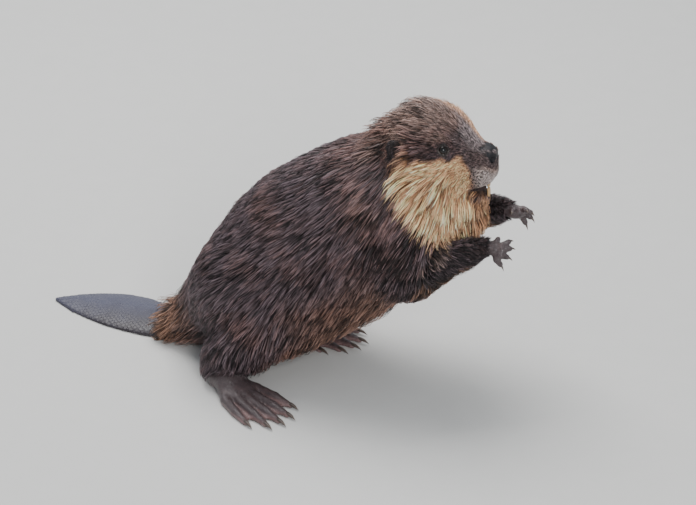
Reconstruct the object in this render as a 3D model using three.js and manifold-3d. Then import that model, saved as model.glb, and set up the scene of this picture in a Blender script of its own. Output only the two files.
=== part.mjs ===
// A young adult beaver, life size, reared on its hind feet and flat tail with both forepaws raised.
// Millimetres, +Z up, +X towards the nose, +Y towards the animal's left; the floor is Z = 0.
// The body is one form, a blend of named volumes. Each length of it is wrapped in facets and trimmed
// by thin cuts. Its surface is the outline of the coat, out to the tips of the hair; the feet, nose
// and tail are bare.
import * as THREE from "three";
import { mergeVertices } from "three/addons/utils/BufferGeometryUtils.js";
import Module from "manifold-3d";

const wasm = await Module();
wasm.setup();

// ---------- driving dimensions ----------
const GAP = 0.4; // left between neighbouring pieces
const FIT = 1.7; // left between the fur and a bare foot or the tail
const MARGIN = 36; // how far a wrapped form runs past the plane that trims it
const WORLD = 1600; // side of the blocks that cut along a plane

// The spine: x, z, half height and half width of the coat round it, from tail root to skull.
const SPINE = [
  [-88, 24, 21, 27],
  [-46, 36, 36, 45],
  [0, 72, 66, 76],
  [58, 118, 96, 101],
  [128, 173, 119, 120],
  [196, 223, 116, 116],
  [246, 262, 98, 100],
  [268, 306, 80, 82],
  [281, 336, 61, 58],
];
const SPINE_STEPS = 20;

// Paired volumes, given for the left side: centre, radii, and pitch in degrees, nose end up.
const HAUNCH = { at: [60, 62, 108], radii: [90, 54, 71], pitch: -20 };
const SHOULDER = { at: [268, 62, 222], radii: [62, 50, 74], pitch: 30 };
const RUFF = { at: [294, 35, 286], radii: [46, 38, 56], pitch: 20 };
const LIP = { at: [357, 13, 323], radii: [19, 15, 16], pitch: 0 };

// Volumes of the head on the middle plane: single ones, and chains of x, y, z, radius and half width.
const SKULL = { at: [290, 0, 347], radii: [60, 54, 62], pitch: 0 };
const MUZZLE = { at: [346, 0, 320], radii: [30, 29, 31], pitch: 0 };
const FACE = [[301, 0, 348, 50, 41], [355, 0, 341, 25, 25.5]];
const JAW = [[310, 0, 288, 34], [352, 0, 283, 17]];
const BIB = [[308, 0, 270, 38], [343, 0, 264, 22]];
const MOUTH = { corner: [346, 305], rise: 0.27, drop: 0.34, back: 341, under: 258, front: 420 };
const CHIN = 29; // half the width of the chin
const INCISOR = { x: 366, wide: 7, thick: 4, upper: [302.5, 318], lower: [290, 301] };
const NOSE = { at: [365, 0, 350], radii: [15, 17, 14.5] };
const NOSTRIL = { at: [377, 11, 347], to: [363, 7, 346], r: 3.4 };
const EYE = { at: [318.5, 44, 368], r: 6.2 };
const EAR = { at: [256, 57, 363], radii: [11, 4.4, 16], yaw: 30, lean: -18, cup: 0.74 };

// Legs: x, y, z and radius along each, given for the left side.
const HIND_LEG = [
  [56, 68, 108, 60],
  [74, 94, 82, 41],
  [50, 104, 52, 37],
  [24, 106, 34, 27],
];
const FORE_LEG = [
  [262, 70, 222, 42],
  [318, 80, 214, 26],
  [352, 62, 226, 18],
  [378, 48, 236, 12.5],
];
const WRIST_LIFT = { right: 0, left: 12 }; // how much higher each paw is held
const FLANK_CUT = { x: 52, z: 60, r: 92, y: 46 }; // the round outline of a hind leg, and its inner side

// Hind feet: the heel's place, the heading in degrees outwards from straight ahead, and the shape.
const HIND_FEET = {
  right: { side: -1, heel: [10, 106], heading: 33 },
  left: { side: 1, heel: [14, 96], heading: -20 },
};
const FOOT_LONG = 160;
const FOOT_WIDTH = [[0, 13], [0.08, 18], [0.28, 20], [0.5, 27], [0.8, 39], [1, 43]];
const FOOT_HEIGHT = [[0, 14], [0.08, 26], [0.22, 34], [0.42, 22], [0.65, 13], [0.88, 10], [1, 6]];
const FOOT_EDGE = 2.5; // height of its rim
const FOOT_WEB = 4; // height of the web between the toes
const TOES = [-0.88, -0.45, 0, 0.45, 0.88]; // places across the foot, inner to outer
const TOE_REACH = [0.84, 0.96, 1, 0.98, 0.86]; // shares of the foot's length
const WEB_NOTCH = 0.07;
const TOE_CLAW = { long: 13, r: 2.6 };

// Forepaws: finger tips measured from the wrist, for the left side, with claws beyond them.
const WRIST = [380, 47, 236];
const PALM = { ahead: [11, -2, 0], radii: [14, 11, 10] };
const FINGERS = [
  [12, -16, 7],
  [29, -10, 9],
  [33, -3, 3],
  [31, 3, -7],
  [23, 6, -18],
];
const FINGER = { r: 4.4, tip: 3.2, bow: 5, claw: 10, clawRadius: 1.9, clawDrop: 4 };

// Tail: x, middle y, half width and thickness along it.
const TAIL = [
  [-82, 8, 26, 20],
  [-101, 14, 37, 17],
  [-124, 22, 47, 15],
  [-154, 29, 51, 13],
  [-186, 33, 49, 12],
  [-218, 35, 40, 10],
  [-248, 35, 27, 8.5],
  [-270, 34, 12, 6.5],
  [-281, 33, 3, 5],
];
const TAIL_CROWN = 0.68; // how far the tail thins towards its edges

// Planes that part the body, each a point and the normal of its forward side.
const NECK_BASE = { at: [262, 0, 285], normal: [0.72, 0, 0.69] };
const NECK_TOP = { at: [235, 0, 400], normal: [0.826, 0, 0.564] };
const FLOOR = { at: [0, 0, 0], normal: [0, 0, 1] };

const COATS = { dark: 0x3d2b20, brown: 0x4a3426, ruff: 0xa9825a };
const BARE = { foot: 0x40302e, nose: 0x17161a, ear: 0x1f1a1a, tail: 0x474953, eye: 0x0b0a0a };

// ---------- fields: the distance to a volume's surface, negative inside ----------
const { lerp, clamp, degToRad, smoothstep } = THREE.MathUtils;
const vector = (p) => new THREE.Vector3(...p);
const dot = (a, b) => a[0] * b[0] + a[1] * b[1] + a[2] * b[2];
const less = (a, b) => [a[0] - b[0], a[1] - b[1], a[2] - b[2]];

function blend(a, b, reach) {
  const share = Math.max(reach - Math.abs(a - b), 0) / reach;
  return Math.min(a, b) - (share * share * reach) / 4;
}

function ellipsoid({ at, radii, pitch }) {
  const c = Math.cos(degToRad(pitch));
  const s = Math.sin(degToRad(pitch));
  return (p) => {
    const [dx, dy, dz] = less(p, at);
    const local = [c * dx + s * dz, dy, c * dz - s * dx];
    const near = Math.hypot(...local.map((d, i) => d / radii[i]));
    const slope = Math.hypot(...local.map((d, i) => d / radii[i] ** 2));
    return slope < 1e-9 ? -Math.min(...radii) : (near * (near - 1)) / slope;
  };
}

// A round link between two stations of x, y, z, half height and half width.
function link(a, b) {
  const run = less(b, a);
  return (p) => {
    const from = less(p, a);
    const t = clamp(dot(from, run) / dot(run, run), 0, 1);
    const r = lerp(a[3], b[3], t);
    const off = from.map((d, i) => d - t * run[i]);
    return Math.hypot(off[0], (off[1] * r) / lerp(a[4], b[4], t), off[2]) - r;
  };
}

// A chain of links through stations of x, y, z and radius, or x, y, z, half height and half width.
function chain(stations, reach = 0.1) {
  const full = stations.map((s) => [...s.slice(0, 4), s[4] ?? s[3]]);
  const links = full.slice(1).map((s, i) => link(full[i], s));
  return (p) => links.map((f) => f(p)).reduce((a, b) => blend(a, b, reach));
}

const pair = (field) => (p) => field([p[0], Math.abs(p[1]), p[2]]);

// The spine's stations, resampled on a smooth curve.
function spineStations() {
  const places = new THREE.CatmullRomCurve3(SPINE.map(([x, z]) => new THREE.Vector3(x, 0, z)));
  const sizes = new THREE.CatmullRomCurve3(SPINE.map(([, , h, w]) => new THREE.Vector3(h, w, 0)));
  return Array.from({ length: SPINE_STEPS + 1 }, (_, i) => {
    const p = places.getPoint(i / SPINE_STEPS);
    const s = sizes.getPoint(i / SPINE_STEPS);
    return [p.x, 0, p.z, s.x, s.y];
  });
}

const spine = spineStations();
const trunkVolumes = [
  { field: chain(spine) },
  { field: pair(ellipsoid(HAUNCH)), reach: 40 },
  { field: pair(chain(HIND_LEG, 16)), reach: 18 },
  { field: pair(ellipsoid(SHOULDER)), reach: 36 },
];
const headVolumes = [
  { field: ellipsoid(SKULL) },
  { field: chain(FACE), reach: 14 },
  { field: ellipsoid(MUZZLE), reach: 12 },
  { field: pair(ellipsoid(LIP)), reach: 8 },
  { field: chain(JAW), reach: 14 },
  { field: chain(BIB), reach: 14 },
  { field: pair(ellipsoid(RUFF)), reach: 26 },
];
const NAPE_REACH = 22;

const blendAll = (volumes, p) =>
  volumes.slice(1).reduce((d, { field, reach }) => blend(d, field(p), reach), volumes[0].field(p));
const body = (p) => blend(blendAll(trunkVolumes, p), blendAll(headVolumes, p), NAPE_REACH);

// How far ahead of a plane a place lies.
const past = ({ at, normal }, p) => dot(less(p, at), normal);

// How far outside the outline of the hind legs a place lies.
function outsideLegs(p) {
  const round = Math.hypot(p[0] - FLANK_CUT.x, p[2] - FLANK_CUT.z) - FLANK_CUT.r;
  return Math.max(round, FLANK_CUT.y - Math.abs(p[1]));
}

// The fields of the body's lengths, each running a little past its trimming planes.
const lengths = {
  trunk: (p) => Math.max(body(p), past(NECK_BASE, p) - MARGIN, -outsideLegs(p) - MARGIN),
  neck: (p) => Math.max(body(p), past(NECK_TOP, p) - MARGIN, -past(NECK_BASE, p) - MARGIN),
  head: (p) => Math.max(body(p), -past(NECK_TOP, p) - MARGIN),
  leg: (p) => Math.max(body(p), outsideLegs(p) - MARGIN),
};

// ---------- solids ----------
function solid(geometry) {
  const bare = geometry.clone();
  bare.deleteAttribute("normal");
  bare.deleteAttribute("uv");
  const merged = mergeVertices(bare, 1e-3);
  const made = new wasm.Manifold(
    new wasm.Mesh({
      numProp: 3,
      vertProperties: merged.attributes.position.array,
      triVerts: new Uint32Array(merged.index.array),
    }),
  );
  return made.volume() < 0 ? solid(flipped(merged)) : made;
}

function flipped(geometry) {
  const index = geometry.index.array;
  for (let i = 0; i < index.length; i += 3)
    [index[i + 1], index[i + 2]] = [index[i + 2], index[i + 1]];
  return geometry;
}

// Moves each vertex of a geometry to where the function puts it.
function reshape(geometry, move) {
  const place = geometry.attributes.position;
  for (let i = 0; i < place.count; i++)
    place.setXYZ(i, ...move(new THREE.Vector3().fromBufferAttribute(place, i)));
  return geometry;
}

const join = (solids) => solids.reduce((a, b) => a.add(b));

// The place along a ray where the field turns positive.
function surfaceAlong(field, from, heading) {
  const at = (s) => from.clone().addScaledVector(heading, s).toArray();
  let inside = 0;
  let outside = 0.5;
  for (let d = field(at(outside)); d < 0; d = field(at(outside))) {
    inside = outside;
    outside += Math.max(0.5, -0.6 * d);
  }
  for (let i = 0; i < 16; i++) {
    const middle = (inside + outside) / 2;
    if (field(at(middle)) < 0) inside = middle;
    else outside = middle;
  }
  return at(outside);
}

// A sphere's net drawn out along an axis and pushed out to the field. The caps are the shares of its
// rows that fan out round the axis's two ends.
function wrap(field, axis, rows, segments, caps = [0.25, 0.25]) {
  const line = new THREE.CatmullRomCurve3(axis.map(vector), false, "centripetal");
  const net = new THREE.SphereGeometry(1, segments, rows);
  return solid(
    reshape(net, (unit) => {
      const share = 1 - Math.acos(clamp(unit.y, -1, 1)) / Math.PI;
      const t = clamp((share - caps[0]) / (1 - caps[0] - caps[1]), 0, 1);
      const back = Math.max(0, 1 - share / caps[0]);
      const front = Math.max(0, 1 - (1 - share) / caps[1]);
      const tilt = ((front - back) * Math.PI) / 2;
      const tangent = line.getTangentAt(t);
      const across = new THREE.Vector3(0, 1, 0).cross(tangent).normalize();
      const up = tangent.clone().cross(across);
      const round = Math.atan2(unit.z, unit.x);
      const heading = across
        .multiplyScalar(Math.cos(round))
        .addScaledVector(up, Math.sin(round))
        .multiplyScalar(Math.cos(tilt))
        .addScaledVector(tangent, Math.sin(tilt));
      return surfaceAlong(field, line.getPointAt(t), heading);
    }),
  );
}

// A slab on the floor: top(u, v) gives x, y and z over its length and breadth, and it is flat below.
function slab(top, rows, columns) {
  const geometry = new THREE.BoxGeometry(1, 2, 1, rows, columns, 1);
  return solid(
    reshape(geometry, (p) => {
      const [x, y, z] = top(p.x + 0.5, p.y);
      return [x, y, p.z > 0 ? z : 0];
    }),
  );
}

// A round-ended rod between two points.
function rod(from, to, r0, r1, segments = 8, rings = 2) {
  const run = vector(to).sub(vector(from));
  const long = run.length();
  const profile = [new THREE.Vector2(0, -r0)];
  for (let i = 1; i <= rings; i++) {
    const a = ((i / rings) * Math.PI) / 2;
    profile.push(new THREE.Vector2(r0 * Math.sin(a), -r0 * Math.cos(a)));
  }
  for (let i = 0; i < rings; i++) {
    const a = ((i / rings) * Math.PI) / 2;
    profile.push(new THREE.Vector2(r1 * Math.cos(a), long + r1 * Math.sin(a)));
  }
  profile.push(new THREE.Vector2(0, long + r1));
  const turn = new THREE.Quaternion();
  turn.setFromUnitVectors(new THREE.Vector3(0, 1, 0), run.normalize());
  const geometry = new THREE.LatheGeometry(profile, segments);
  return solid(geometry.applyQuaternion(turn).translate(...from));
}

function ball(at, radii, segments = 12, rings = 8) {
  const geometry = new THREE.SphereGeometry(1, segments, rings);
  return solid(geometry.scale(...radii).translate(...at));
}

// All of space ahead of a plane, which is first moved back by the margin.
function ahead({ at, normal }, margin = 0) {
  const turn = new THREE.Quaternion();
  turn.setFromUnitVectors(new THREE.Vector3(0, 0, 1), vector(normal).normalize());
  const geometry = new THREE.BoxGeometry(WORLD, WORLD, WORLD);
  geometry.translate(0, 0, WORLD / 2 - margin).applyQuaternion(turn);
  return solid(geometry.translate(...at));
}

// A straight-sided block: an outline in x and z, as deep to both sides of the middle plane.
function block(outline, halfDepth) {
  const shape = new THREE.Shape(outline.map(([x, z]) => new THREE.Vector2(x, z)));
  const geometry = new THREE.ExtrudeGeometry(shape, { depth: 2 * halfDepth, bevelEnabled: false });
  return solid(geometry.rotateX(Math.PI / 2).translate(0, halfDepth, 0));
}

// A value read off a table of stations whose first column runs upwards.
function along(table, t, column = 1) {
  const next = clamp(table.findIndex(([s]) => s >= t), 1, table.length - 1);
  const [a, b] = [table[next - 1], table[next]];
  return lerp(a[column], b[column], clamp((t - a[0]) / (b[0] - a[0]), 0, 1));
}

const mirrored = ([x, y, z, ...rest], side) => [x, side * y, z, ...rest];
const raised = ([x, y, z, ...rest], lift) => [x, y, z + lift, ...rest];

// ---------- the animal's pieces ----------
const SIDES = { right: -1, left: 1 };

function trunkForm(grow = 0) {
  const axis = [1, 3, 5, 8, 11, 14, 16].map((i) => spine[i].slice(0, 3));
  return wrap((p) => lengths.trunk(p) - grow, axis, 26, 24, [0.12, 0.2]);
}

function neckForm(grow = 0) {
  return wrap((p) => lengths.neck(p) - grow, [[262, 0, 318], [272, 0, 322]], 12, 24, [0.42, 0.42]);
}

function headForm(grow = 0) {
  const axis = [[284, 0, 344], [304, 0, 332], [340, 0, 326]];
  return wrap((p) => lengths.head(p) - grow, axis, 24, 26, [0.3, 0.36]);
}

function legForm(side) {
  const axis = HIND_LEG.map((s) => mirrored(s, side).slice(0, 3));
  axis[0][1] = side * (HIND_LEG[0][1] + 6);
  return wrap(lengths.leg, axis, 15, 17, [0.3, 0.2]);
}

// The round-edged block that holds a hind leg.
function legBlock(side, grow = 0) {
  const { x, z, r, y } = FLANK_CUT;
  const deep = 200;
  const geometry = new THREE.CylinderGeometry(r + grow, r + grow, deep, 42);
  return solid(geometry.translate(x, side * (y - grow + deep / 2), z));
}

// How far the foot reaches at a place across it: far at each toe, and notched at each web.
function toeReach(v) {
  const place = clamp(v, TOES[0], TOES.at(-1));
  const k = clamp(TOES.findLastIndex((t) => t <= place), 0, TOES.length - 2);
  const share = (place - TOES[k]) / (TOES[k + 1] - TOES[k]);
  return lerp(TOE_REACH[k], TOE_REACH[k + 1], share) - WEB_NOTCH * Math.sin(Math.PI * share) ** 2;
}

// One along the middle of a toe, and zero on the web between two.
function toeRidge(v) {
  const nearest = Math.min(...TOES.map((t) => Math.abs(v - t)));
  return Math.max(0, 1 - (nearest / 0.17) ** 2);
}

// A place on the foot from how far ahead of the heel and how far outwards it is.
function footPlace({ side, heel, heading }, forward, out, z) {
  const c = Math.cos(degToRad(heading));
  const s = Math.sin(degToRad(heading));
  return [heel[0] + c * forward - s * out, side * (heel[1] + s * forward + c * out), z];
}

function footSlab(foot, grow = 0) {
  const top = (u, v) => {
    const crown = along(FOOT_HEIGHT, u);
    const instep = crown * Math.sqrt(1 - Math.abs(v) ** 3);
    const toes = lerp(Math.min(FOOT_WEB, crown), crown, toeRidge(v));
    const height = lerp(instep, toes, smoothstep(u, 0.35, 0.62));
    const forward = (FOOT_LONG + 2 * grow) * u * toeReach(v) - grow;
    const out = v * (along(FOOT_WIDTH, u) + grow);
    return footPlace(foot, forward, out, Math.max(height, FOOT_EDGE) + grow);
  };
  return slab(top, 9, 20);
}

function hindFoot(foot) {
  const claws = TOES.map((v, i) => {
    const reach = FOOT_LONG * TOE_REACH[i];
    const out = v * along(FOOT_WIDTH, 1);
    const root = footPlace(foot, reach - 5, out, 3.6);
    const tip = footPlace(foot, reach + TOE_CLAW.long, out * 1.05, 1.6);
    return rod(root, tip, TOE_CLAW.r, 0.9, 6, 1);
  });
  return join([footSlab(foot), ...claws]).intersect(ahead(FLOOR));
}

function foreLeg(side, lift) {
  const last = FORE_LEG.length - 1;
  const stations = FORE_LEG.map((s, i) => raised(mirrored(s, side), (lift * i) / last));
  const field = chain(stations, 8);
  const axis = stations.map((s) => s.slice(0, 3));
  return (grow = 0) => wrap((p) => field(p) - grow, axis, 10, 12, [0.2, 0.2]);
}

function forePaw(side, lift) {
  const plus = (a, b, share = 1) => a.map((v, i) => v + share * b[i]);
  const wrist = raised(WRIST, lift);
  const palm = plus(wrist, PALM.ahead);
  const pieces = [ball(mirrored(palm, side), PALM.radii, 8, 6)];
  for (const reach of FINGERS) {
    const tip = plus(wrist, reach);
    const run = less(tip, palm);
    const joint = plus(palm, run, 0.6);
    joint[1] += FINGER.bow;
    const knuckle = plus(palm, run, 0.2);
    const heading = vector(less(tip, joint)).normalize().toArray();
    const point = plus(tip, heading, FINGER.claw);
    point[2] -= FINGER.clawDrop;
    pieces.push(rod(mirrored(knuckle, side), mirrored(joint, side), FINGER.r, FINGER.r, 5, 1));
    pieces.push(rod(mirrored(joint, side), mirrored(tip, side), FINGER.r, FINGER.tip, 5, 1));
    pieces.push(rod(mirrored(tip, side), mirrored(point, side), FINGER.clawRadius, 0.6, 4, 1));
  }
  return join(pieces);
}

// A small round ear, cupped on the side that faces forwards and outwards.
function ear(side) {
  const { at, radii, yaw, lean, cup } = EAR;
  const shell = (size, shift) => {
    const geometry = new THREE.SphereGeometry(1, 12, 8);
    geometry.scale(...radii.map((r) => r * size)).translate(0, shift, 0);
    geometry.rotateY(degToRad(lean)).rotateZ(degToRad(-yaw)).translate(...at);
    return solid(geometry.scale(1, side, 1));
  };
  return shell(1, 0).subtract(shell(cup, radii[1]));
}

// The outline of the lower jaw, or of the room for it and for the open mouth.
function jawOutline(room = false) {
  const { corner, rise, drop, back, under, front } = MOUTH;
  const slope = room ? rise : -drop;
  const grow = room ? GAP : 0;
  return [
    [corner[0], corner[1] + grow],
    [front, corner[1] + slope * (front - corner[0])],
    [front, under - grow],
    [back - grow, under - grow],
    [back - grow, corner[1] + grow],
  ];
}

function incisors([z0, z1]) {
  const { x, wide, thick } = INCISOR;
  return block([[x, z0], [x + thick, z0], [x + thick, z1], [x, z1]], wide);
}

function nose() {
  const holes = Object.values(SIDES).map((side) =>
    rod(mirrored(NOSTRIL.at, side), mirrored(NOSTRIL.to, side), NOSTRIL.r, NOSTRIL.r * 0.7, 8, 1),
  );
  return ball(NOSE.at, NOSE.radii).subtract(join(holes));
}

function tail(grow = 0) {
  const first = TAIL[0][0];
  const last = TAIL.at(-1)[0];
  const table = TAIL.map(([x, ...rest]) => [(x - first) / (last - first), ...rest]);
  const top = (u, v) => [
    lerp(first + grow, last - grow, u),
    along(table, u, 1) + v * (along(table, u, 2) + grow),
    along(table, u, 3) * (1 - TAIL_CROWN * v * v) + grow,
  ];
  return slab(top, 11, 6).intersect(ahead(FLOOR));
}

// ---------- the assembled animal ----------
const animal = new THREE.Group();

function addPiece(name, made, color, roughness = 0.9) {
  const mesh = made.getMesh();
  const geometry = new THREE.BufferGeometry();
  geometry.setAttribute("position", new THREE.BufferAttribute(mesh.vertProperties, 3));
  geometry.setIndex(new THREE.BufferAttribute(mesh.triVerts, 1));
  geometry.computeVertexNormals();
  const material = new THREE.MeshStandardMaterial({ color, roughness, metalness: 0 });
  const piece = new THREE.Mesh(geometry, material);
  piece.name = name;
  animal.add(piece);
}

const grownBody = [trunkForm(GAP), neckForm(GAP), headForm(GAP)];
const clearOfBody = (piece) => grownBody.reduce((a, b) => a.subtract(b), piece);
const grownBall = ({ at, radii }, side) => ball(mirrored(at, side), radii.map((r) => r + GAP));

let trunk = trunkForm().subtract(ahead(NECK_BASE, GAP)).subtract(tail(FIT)).intersect(ahead(FLOOR));
let head = headForm().intersect(ahead(NECK_TOP));
const jaw = head.intersect(block(jawOutline(), CHIN)).add(incisors(INCISOR.lower));
head = head.subtract(block(jawOutline(true), CHIN + GAP)).add(incisors(INCISOR.upper));
head = head.subtract(grownBall(NOSE, 1));
const eyeRadii = [EYE.r, EYE.r, EYE.r];

for (const [name, side] of Object.entries(SIDES)) {
  const foot = HIND_FEET[name];
  const leg = legForm(side).intersect(legBlock(side)).intersect(ahead(FLOOR));
  trunk = trunk.subtract(legBlock(side, GAP)).subtract(footSlab(foot, FIT));
  head = head.subtract(grownBall({ at: EYE.at, radii: eyeRadii }, side));
  const arm = foreLeg(side, WRIST_LIFT[name]);
  addPiece("hind_leg_" + name, leg.subtract(footSlab(foot, FIT)), COATS.dark);
  addPiece("hind_foot_" + name, hindFoot(foot), BARE.foot, 0.5);
  addPiece("foreleg_" + name, clearOfBody(arm()), COATS.dark);
  addPiece("forepaw_" + name, forePaw(side, WRIST_LIFT[name]).subtract(arm(GAP)), BARE.foot, 0.5);
  addPiece("ear_" + name, clearOfBody(ear(side)), BARE.ear);
  addPiece("eye_" + name, ball(mirrored(EYE.at, side), eyeRadii), BARE.eye, 0.1);
}
addPiece("trunk", trunk, COATS.brown);
addPiece("neck", neckForm().intersect(ahead(NECK_BASE)).subtract(ahead(NECK_TOP, GAP)), COATS.brown);
addPiece("head", head, COATS.ruff);
addPiece("lower_jaw", jaw, COATS.ruff);
addPiece("nose", nose(), BARE.nose, 0.4);
addPiece("tail", tail(), BARE.tail, 0.5);

// The origin moves to the middle of the bottom of the whole animal's box.
const box = new THREE.Box3().setFromObject(animal);
const middle = box.getCenter(new THREE.Vector3());
animal.position.set(-middle.x, -middle.y, -box.min.z);

export default animal;
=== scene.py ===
"""A life-size beaver, reared on its hind feet with both forepaws raised.

One skin is drawn round the same named volumes as the solids, lower than them by the depth of the
coat. Tufts of hair, claws, teeth, eyes, whiskers and tail scales stand on it. Sizes of the animal
are in millimetres from its own origin, on the floor below its tail; meshes are made in metres.
"""
import math

import bmesh
import bpy
import numpy as np
from mathutils import Matrix, Vector
from mathutils.kdtree import KDTree


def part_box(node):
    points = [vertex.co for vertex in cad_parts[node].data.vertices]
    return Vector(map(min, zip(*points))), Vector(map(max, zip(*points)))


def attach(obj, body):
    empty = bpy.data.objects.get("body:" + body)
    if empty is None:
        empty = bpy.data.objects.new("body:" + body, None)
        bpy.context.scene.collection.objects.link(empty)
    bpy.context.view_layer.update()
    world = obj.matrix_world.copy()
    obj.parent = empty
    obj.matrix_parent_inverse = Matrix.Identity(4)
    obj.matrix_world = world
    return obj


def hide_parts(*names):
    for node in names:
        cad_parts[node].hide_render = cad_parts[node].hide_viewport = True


bl_info = {
    "name": "Beaver",
    "version": (1, 0, 0),
    "blender": (4, 5, 0),
    "location": "3D View > Sidebar > Beaver",
    "description": "Dresses the beaver's solids in skin, coat, claws, teeth, eyes and tail scales",
    "category": "Add Mesh",
}

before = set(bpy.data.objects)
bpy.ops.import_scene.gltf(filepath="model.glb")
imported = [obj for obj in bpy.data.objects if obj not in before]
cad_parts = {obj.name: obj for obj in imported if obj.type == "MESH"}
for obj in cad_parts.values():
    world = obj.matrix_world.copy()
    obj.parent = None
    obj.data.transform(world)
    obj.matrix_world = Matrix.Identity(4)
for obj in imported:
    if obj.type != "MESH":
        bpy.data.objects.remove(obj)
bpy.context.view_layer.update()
made = {}  # what one operator leaves for the next: the skin's grid and triangles, and the locks

# ---------- the body's volumes, in millimetres ----------
SPINE = np.array([  # x, z, half height, half width, from tail root to skull
    [-88, 24, 21, 27], [-46, 36, 36, 45], [0, 72, 66, 76], [58, 118, 96, 101], [128, 173, 119, 120],
    [196, 223, 116, 116], [246, 262, 98, 100], [268, 306, 80, 82], [281, 336, 61, 58],
], float)
SPINE_STEPS = 20
HAUNCH = ((60, 62, 108), (90, 54, 71), -20)  # centre, radii, pitch in degrees, for the left side
SHOULDER = ((268, 62, 222), (62, 50, 74), 30)
RUFF = ((294, 35, 286), (46, 38, 56), 20)
LIP = ((357, 13, 323), (19, 15, 16), 0)
SKULL = ((290, 0, 347), (60, 54, 62), 0)
MUZZLE = ((346, 0, 320), (30, 29, 31), 0)
FACE = [[301, 0, 348, 50, 41], [355, 0, 341, 25, 25.5]]
JAW = [[310, 0, 288, 34, 34], [352, 0, 283, 17, 17]]
BIB = [[308, 0, 270, 38, 38], [343, 0, 264, 22, 22]]
HIND_LEG = [[56, 68, 108, 60, 60], [74, 94, 82, 41, 41], [50, 104, 52, 37, 37],
            [24, 106, 34, 27, 27]]
FORE_LEG = [[262, 70, 222, 42, 42], [318, 80, 214, 26, 26], [352, 62, 226, 18, 18],
            [378, 48, 236, 12.5, 12.5]]
WRIST_LIFT = {-1: 0, 1: 12}
MOUTH = {"corner": (346, 305), "rise": 0.34, "drop": 0.44}
INCISORS = {"x": 366, "wide": 3.3, "thick": 4, "upper": (302.5, 320), "lower": (301, 286)}
TONGUE = ((350, 0, 302.5), (15, 10, 6.5), -4)
NOSE = ((365, 0, 350), (14.5, 16.5, 14))
FACE_FRONT = np.array([384, 0, 338.0])  # the muzzle's hair spreads from here
NOSTRIL = (377.5, 10.5, 348)
EYE = (318.5, 44, 368)
EYE_R = 6.2
EYE_OUT = np.array([0.36, 0.90, 0.24]) / np.linalg.norm([0.36, 0.90, 0.24])
EYE_ROWS, EYE_AROUND = 22, 32
CORNEA = 0.05  # how far the front of the eye stands out, as a share of its radius
EAR = {"at": (256, 57, 363), "radii": (11, 4.4, 16), "yaw": 30, "lean": -18, "cup": 0.74}
EAR_HAIR = {"long": 4.0, "deep": 0.8}
HIND_FEET = {-1: ((10, 106), 33), 1: ((14, 96), -20)}  # heel, heading in degrees
FOOT_LONG = 160
FOOT_WIDTH = ((0, 0.08, 0.28, 0.5, 0.8, 1), (13, 18, 20, 27, 39, 43))
TOES = (-0.88, -0.45, 0, 0.45, 0.88)
TOE_REACH = (0.84, 0.96, 1, 0.98, 0.86)
TOE_OUT = (17, 31, 38.5, 43)  # how far out the outermost toes would lie, from root to tip
INSTEP = [[8, 0, 12, 13, 14], [24, 0, 15, 15, 17], [44, 0, 15, 15.5, 19], [70, 0, 9, 9.5, 23]]
WEB = {"from": 56, "height": 3.1, "sag": 1.3, "half": 1.5, "notch": 0.07, "short": 8}
WRIST = (380, 47, 236)
PALM = ((11, -2, 0), (14, 11, 10))
FINGERS = ((12, -16, 7), (29, -10, 9), (33, -3, 3), (31, 3, -7), (23, 6, -18))
FINGER = {"r": 4.7, "tip": 3.6, "bow": 5, "claw": 8}
TOE_CLAW_R, FINGER_CLAW_R = 3.0, 2.3
TAIL = np.array([  # x, middle y, half width, thickness
    [-82, 8, 26, 20], [-101, 14, 37, 17], [-124, 22, 47, 15], [-154, 29, 51, 13],
    [-186, 33, 49, 12], [-218, 35, 40, 10], [-248, 35, 27, 8.5], [-270, 34, 12, 6.5],
    [-281, 33, 3, 5],
], float)[::-1]
TAIL_CROWN = 0.68
BARE_DEPTH = 0.6  # how far bare skin lies inside the solids
SKIN_CLEAR = 0.4  # how far bare skin keeps above the floor
FLOOR_CLEAR = 1.2  # how far hair keeps above the floor
HAIR_ROOT = 0.8  # how far a hair starts below the skin
SIDES = (-1, 1)  # right and left


def mirrored(place, side):
    """A place given for the left side, on either side."""
    return np.array(place, float) * [1, side, 1]


def frame_shift():
    """How far the frame's origin lies from the animal's own, in millimetres."""
    low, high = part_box("eye_right")
    return np.array((low + high) / 2) * 1000 - mirrored(EYE, -1)


SHIFT = frame_shift()


def metres(places):
    return (np.asarray(places, float) + SHIFT) * 0.001


# ---------- fields: the distance to a surface, negative inside ----------
def soft_join(a, b, reach):
    """Two volumes in one, with a rounded seam."""
    share = np.maximum(reach - np.abs(a - b), 0) / reach
    return np.minimum(a, b) - share * share * reach / 4


def soft_cut(a, b, reach):
    """What lies in both volumes, with a rounded edge."""
    return -soft_join(-a, -b, reach)


def step(t, low, high):
    """Rises smoothly from 0 at low to 1 at high."""
    s = np.clip((t - low) / (high - low), 0, 1)
    return s * s * (3 - 2 * s)


def ellipsoid(p, at, radii, pitch=0):
    c, s = math.cos(math.radians(pitch)), math.sin(math.radians(pitch))
    d = p - np.array(at, float)
    q = np.stack([c * d[:, 0] + s * d[:, 2], d[:, 1], c * d[:, 2] - s * d[:, 0]], 1)
    near = np.linalg.norm(q / radii, axis=1)
    slope = np.linalg.norm(q / np.square(np.array(radii, float)), axis=1)
    return np.where(slope < 1e-9, -min(radii), near * (near - 1) / np.maximum(slope, 1e-9))


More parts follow.
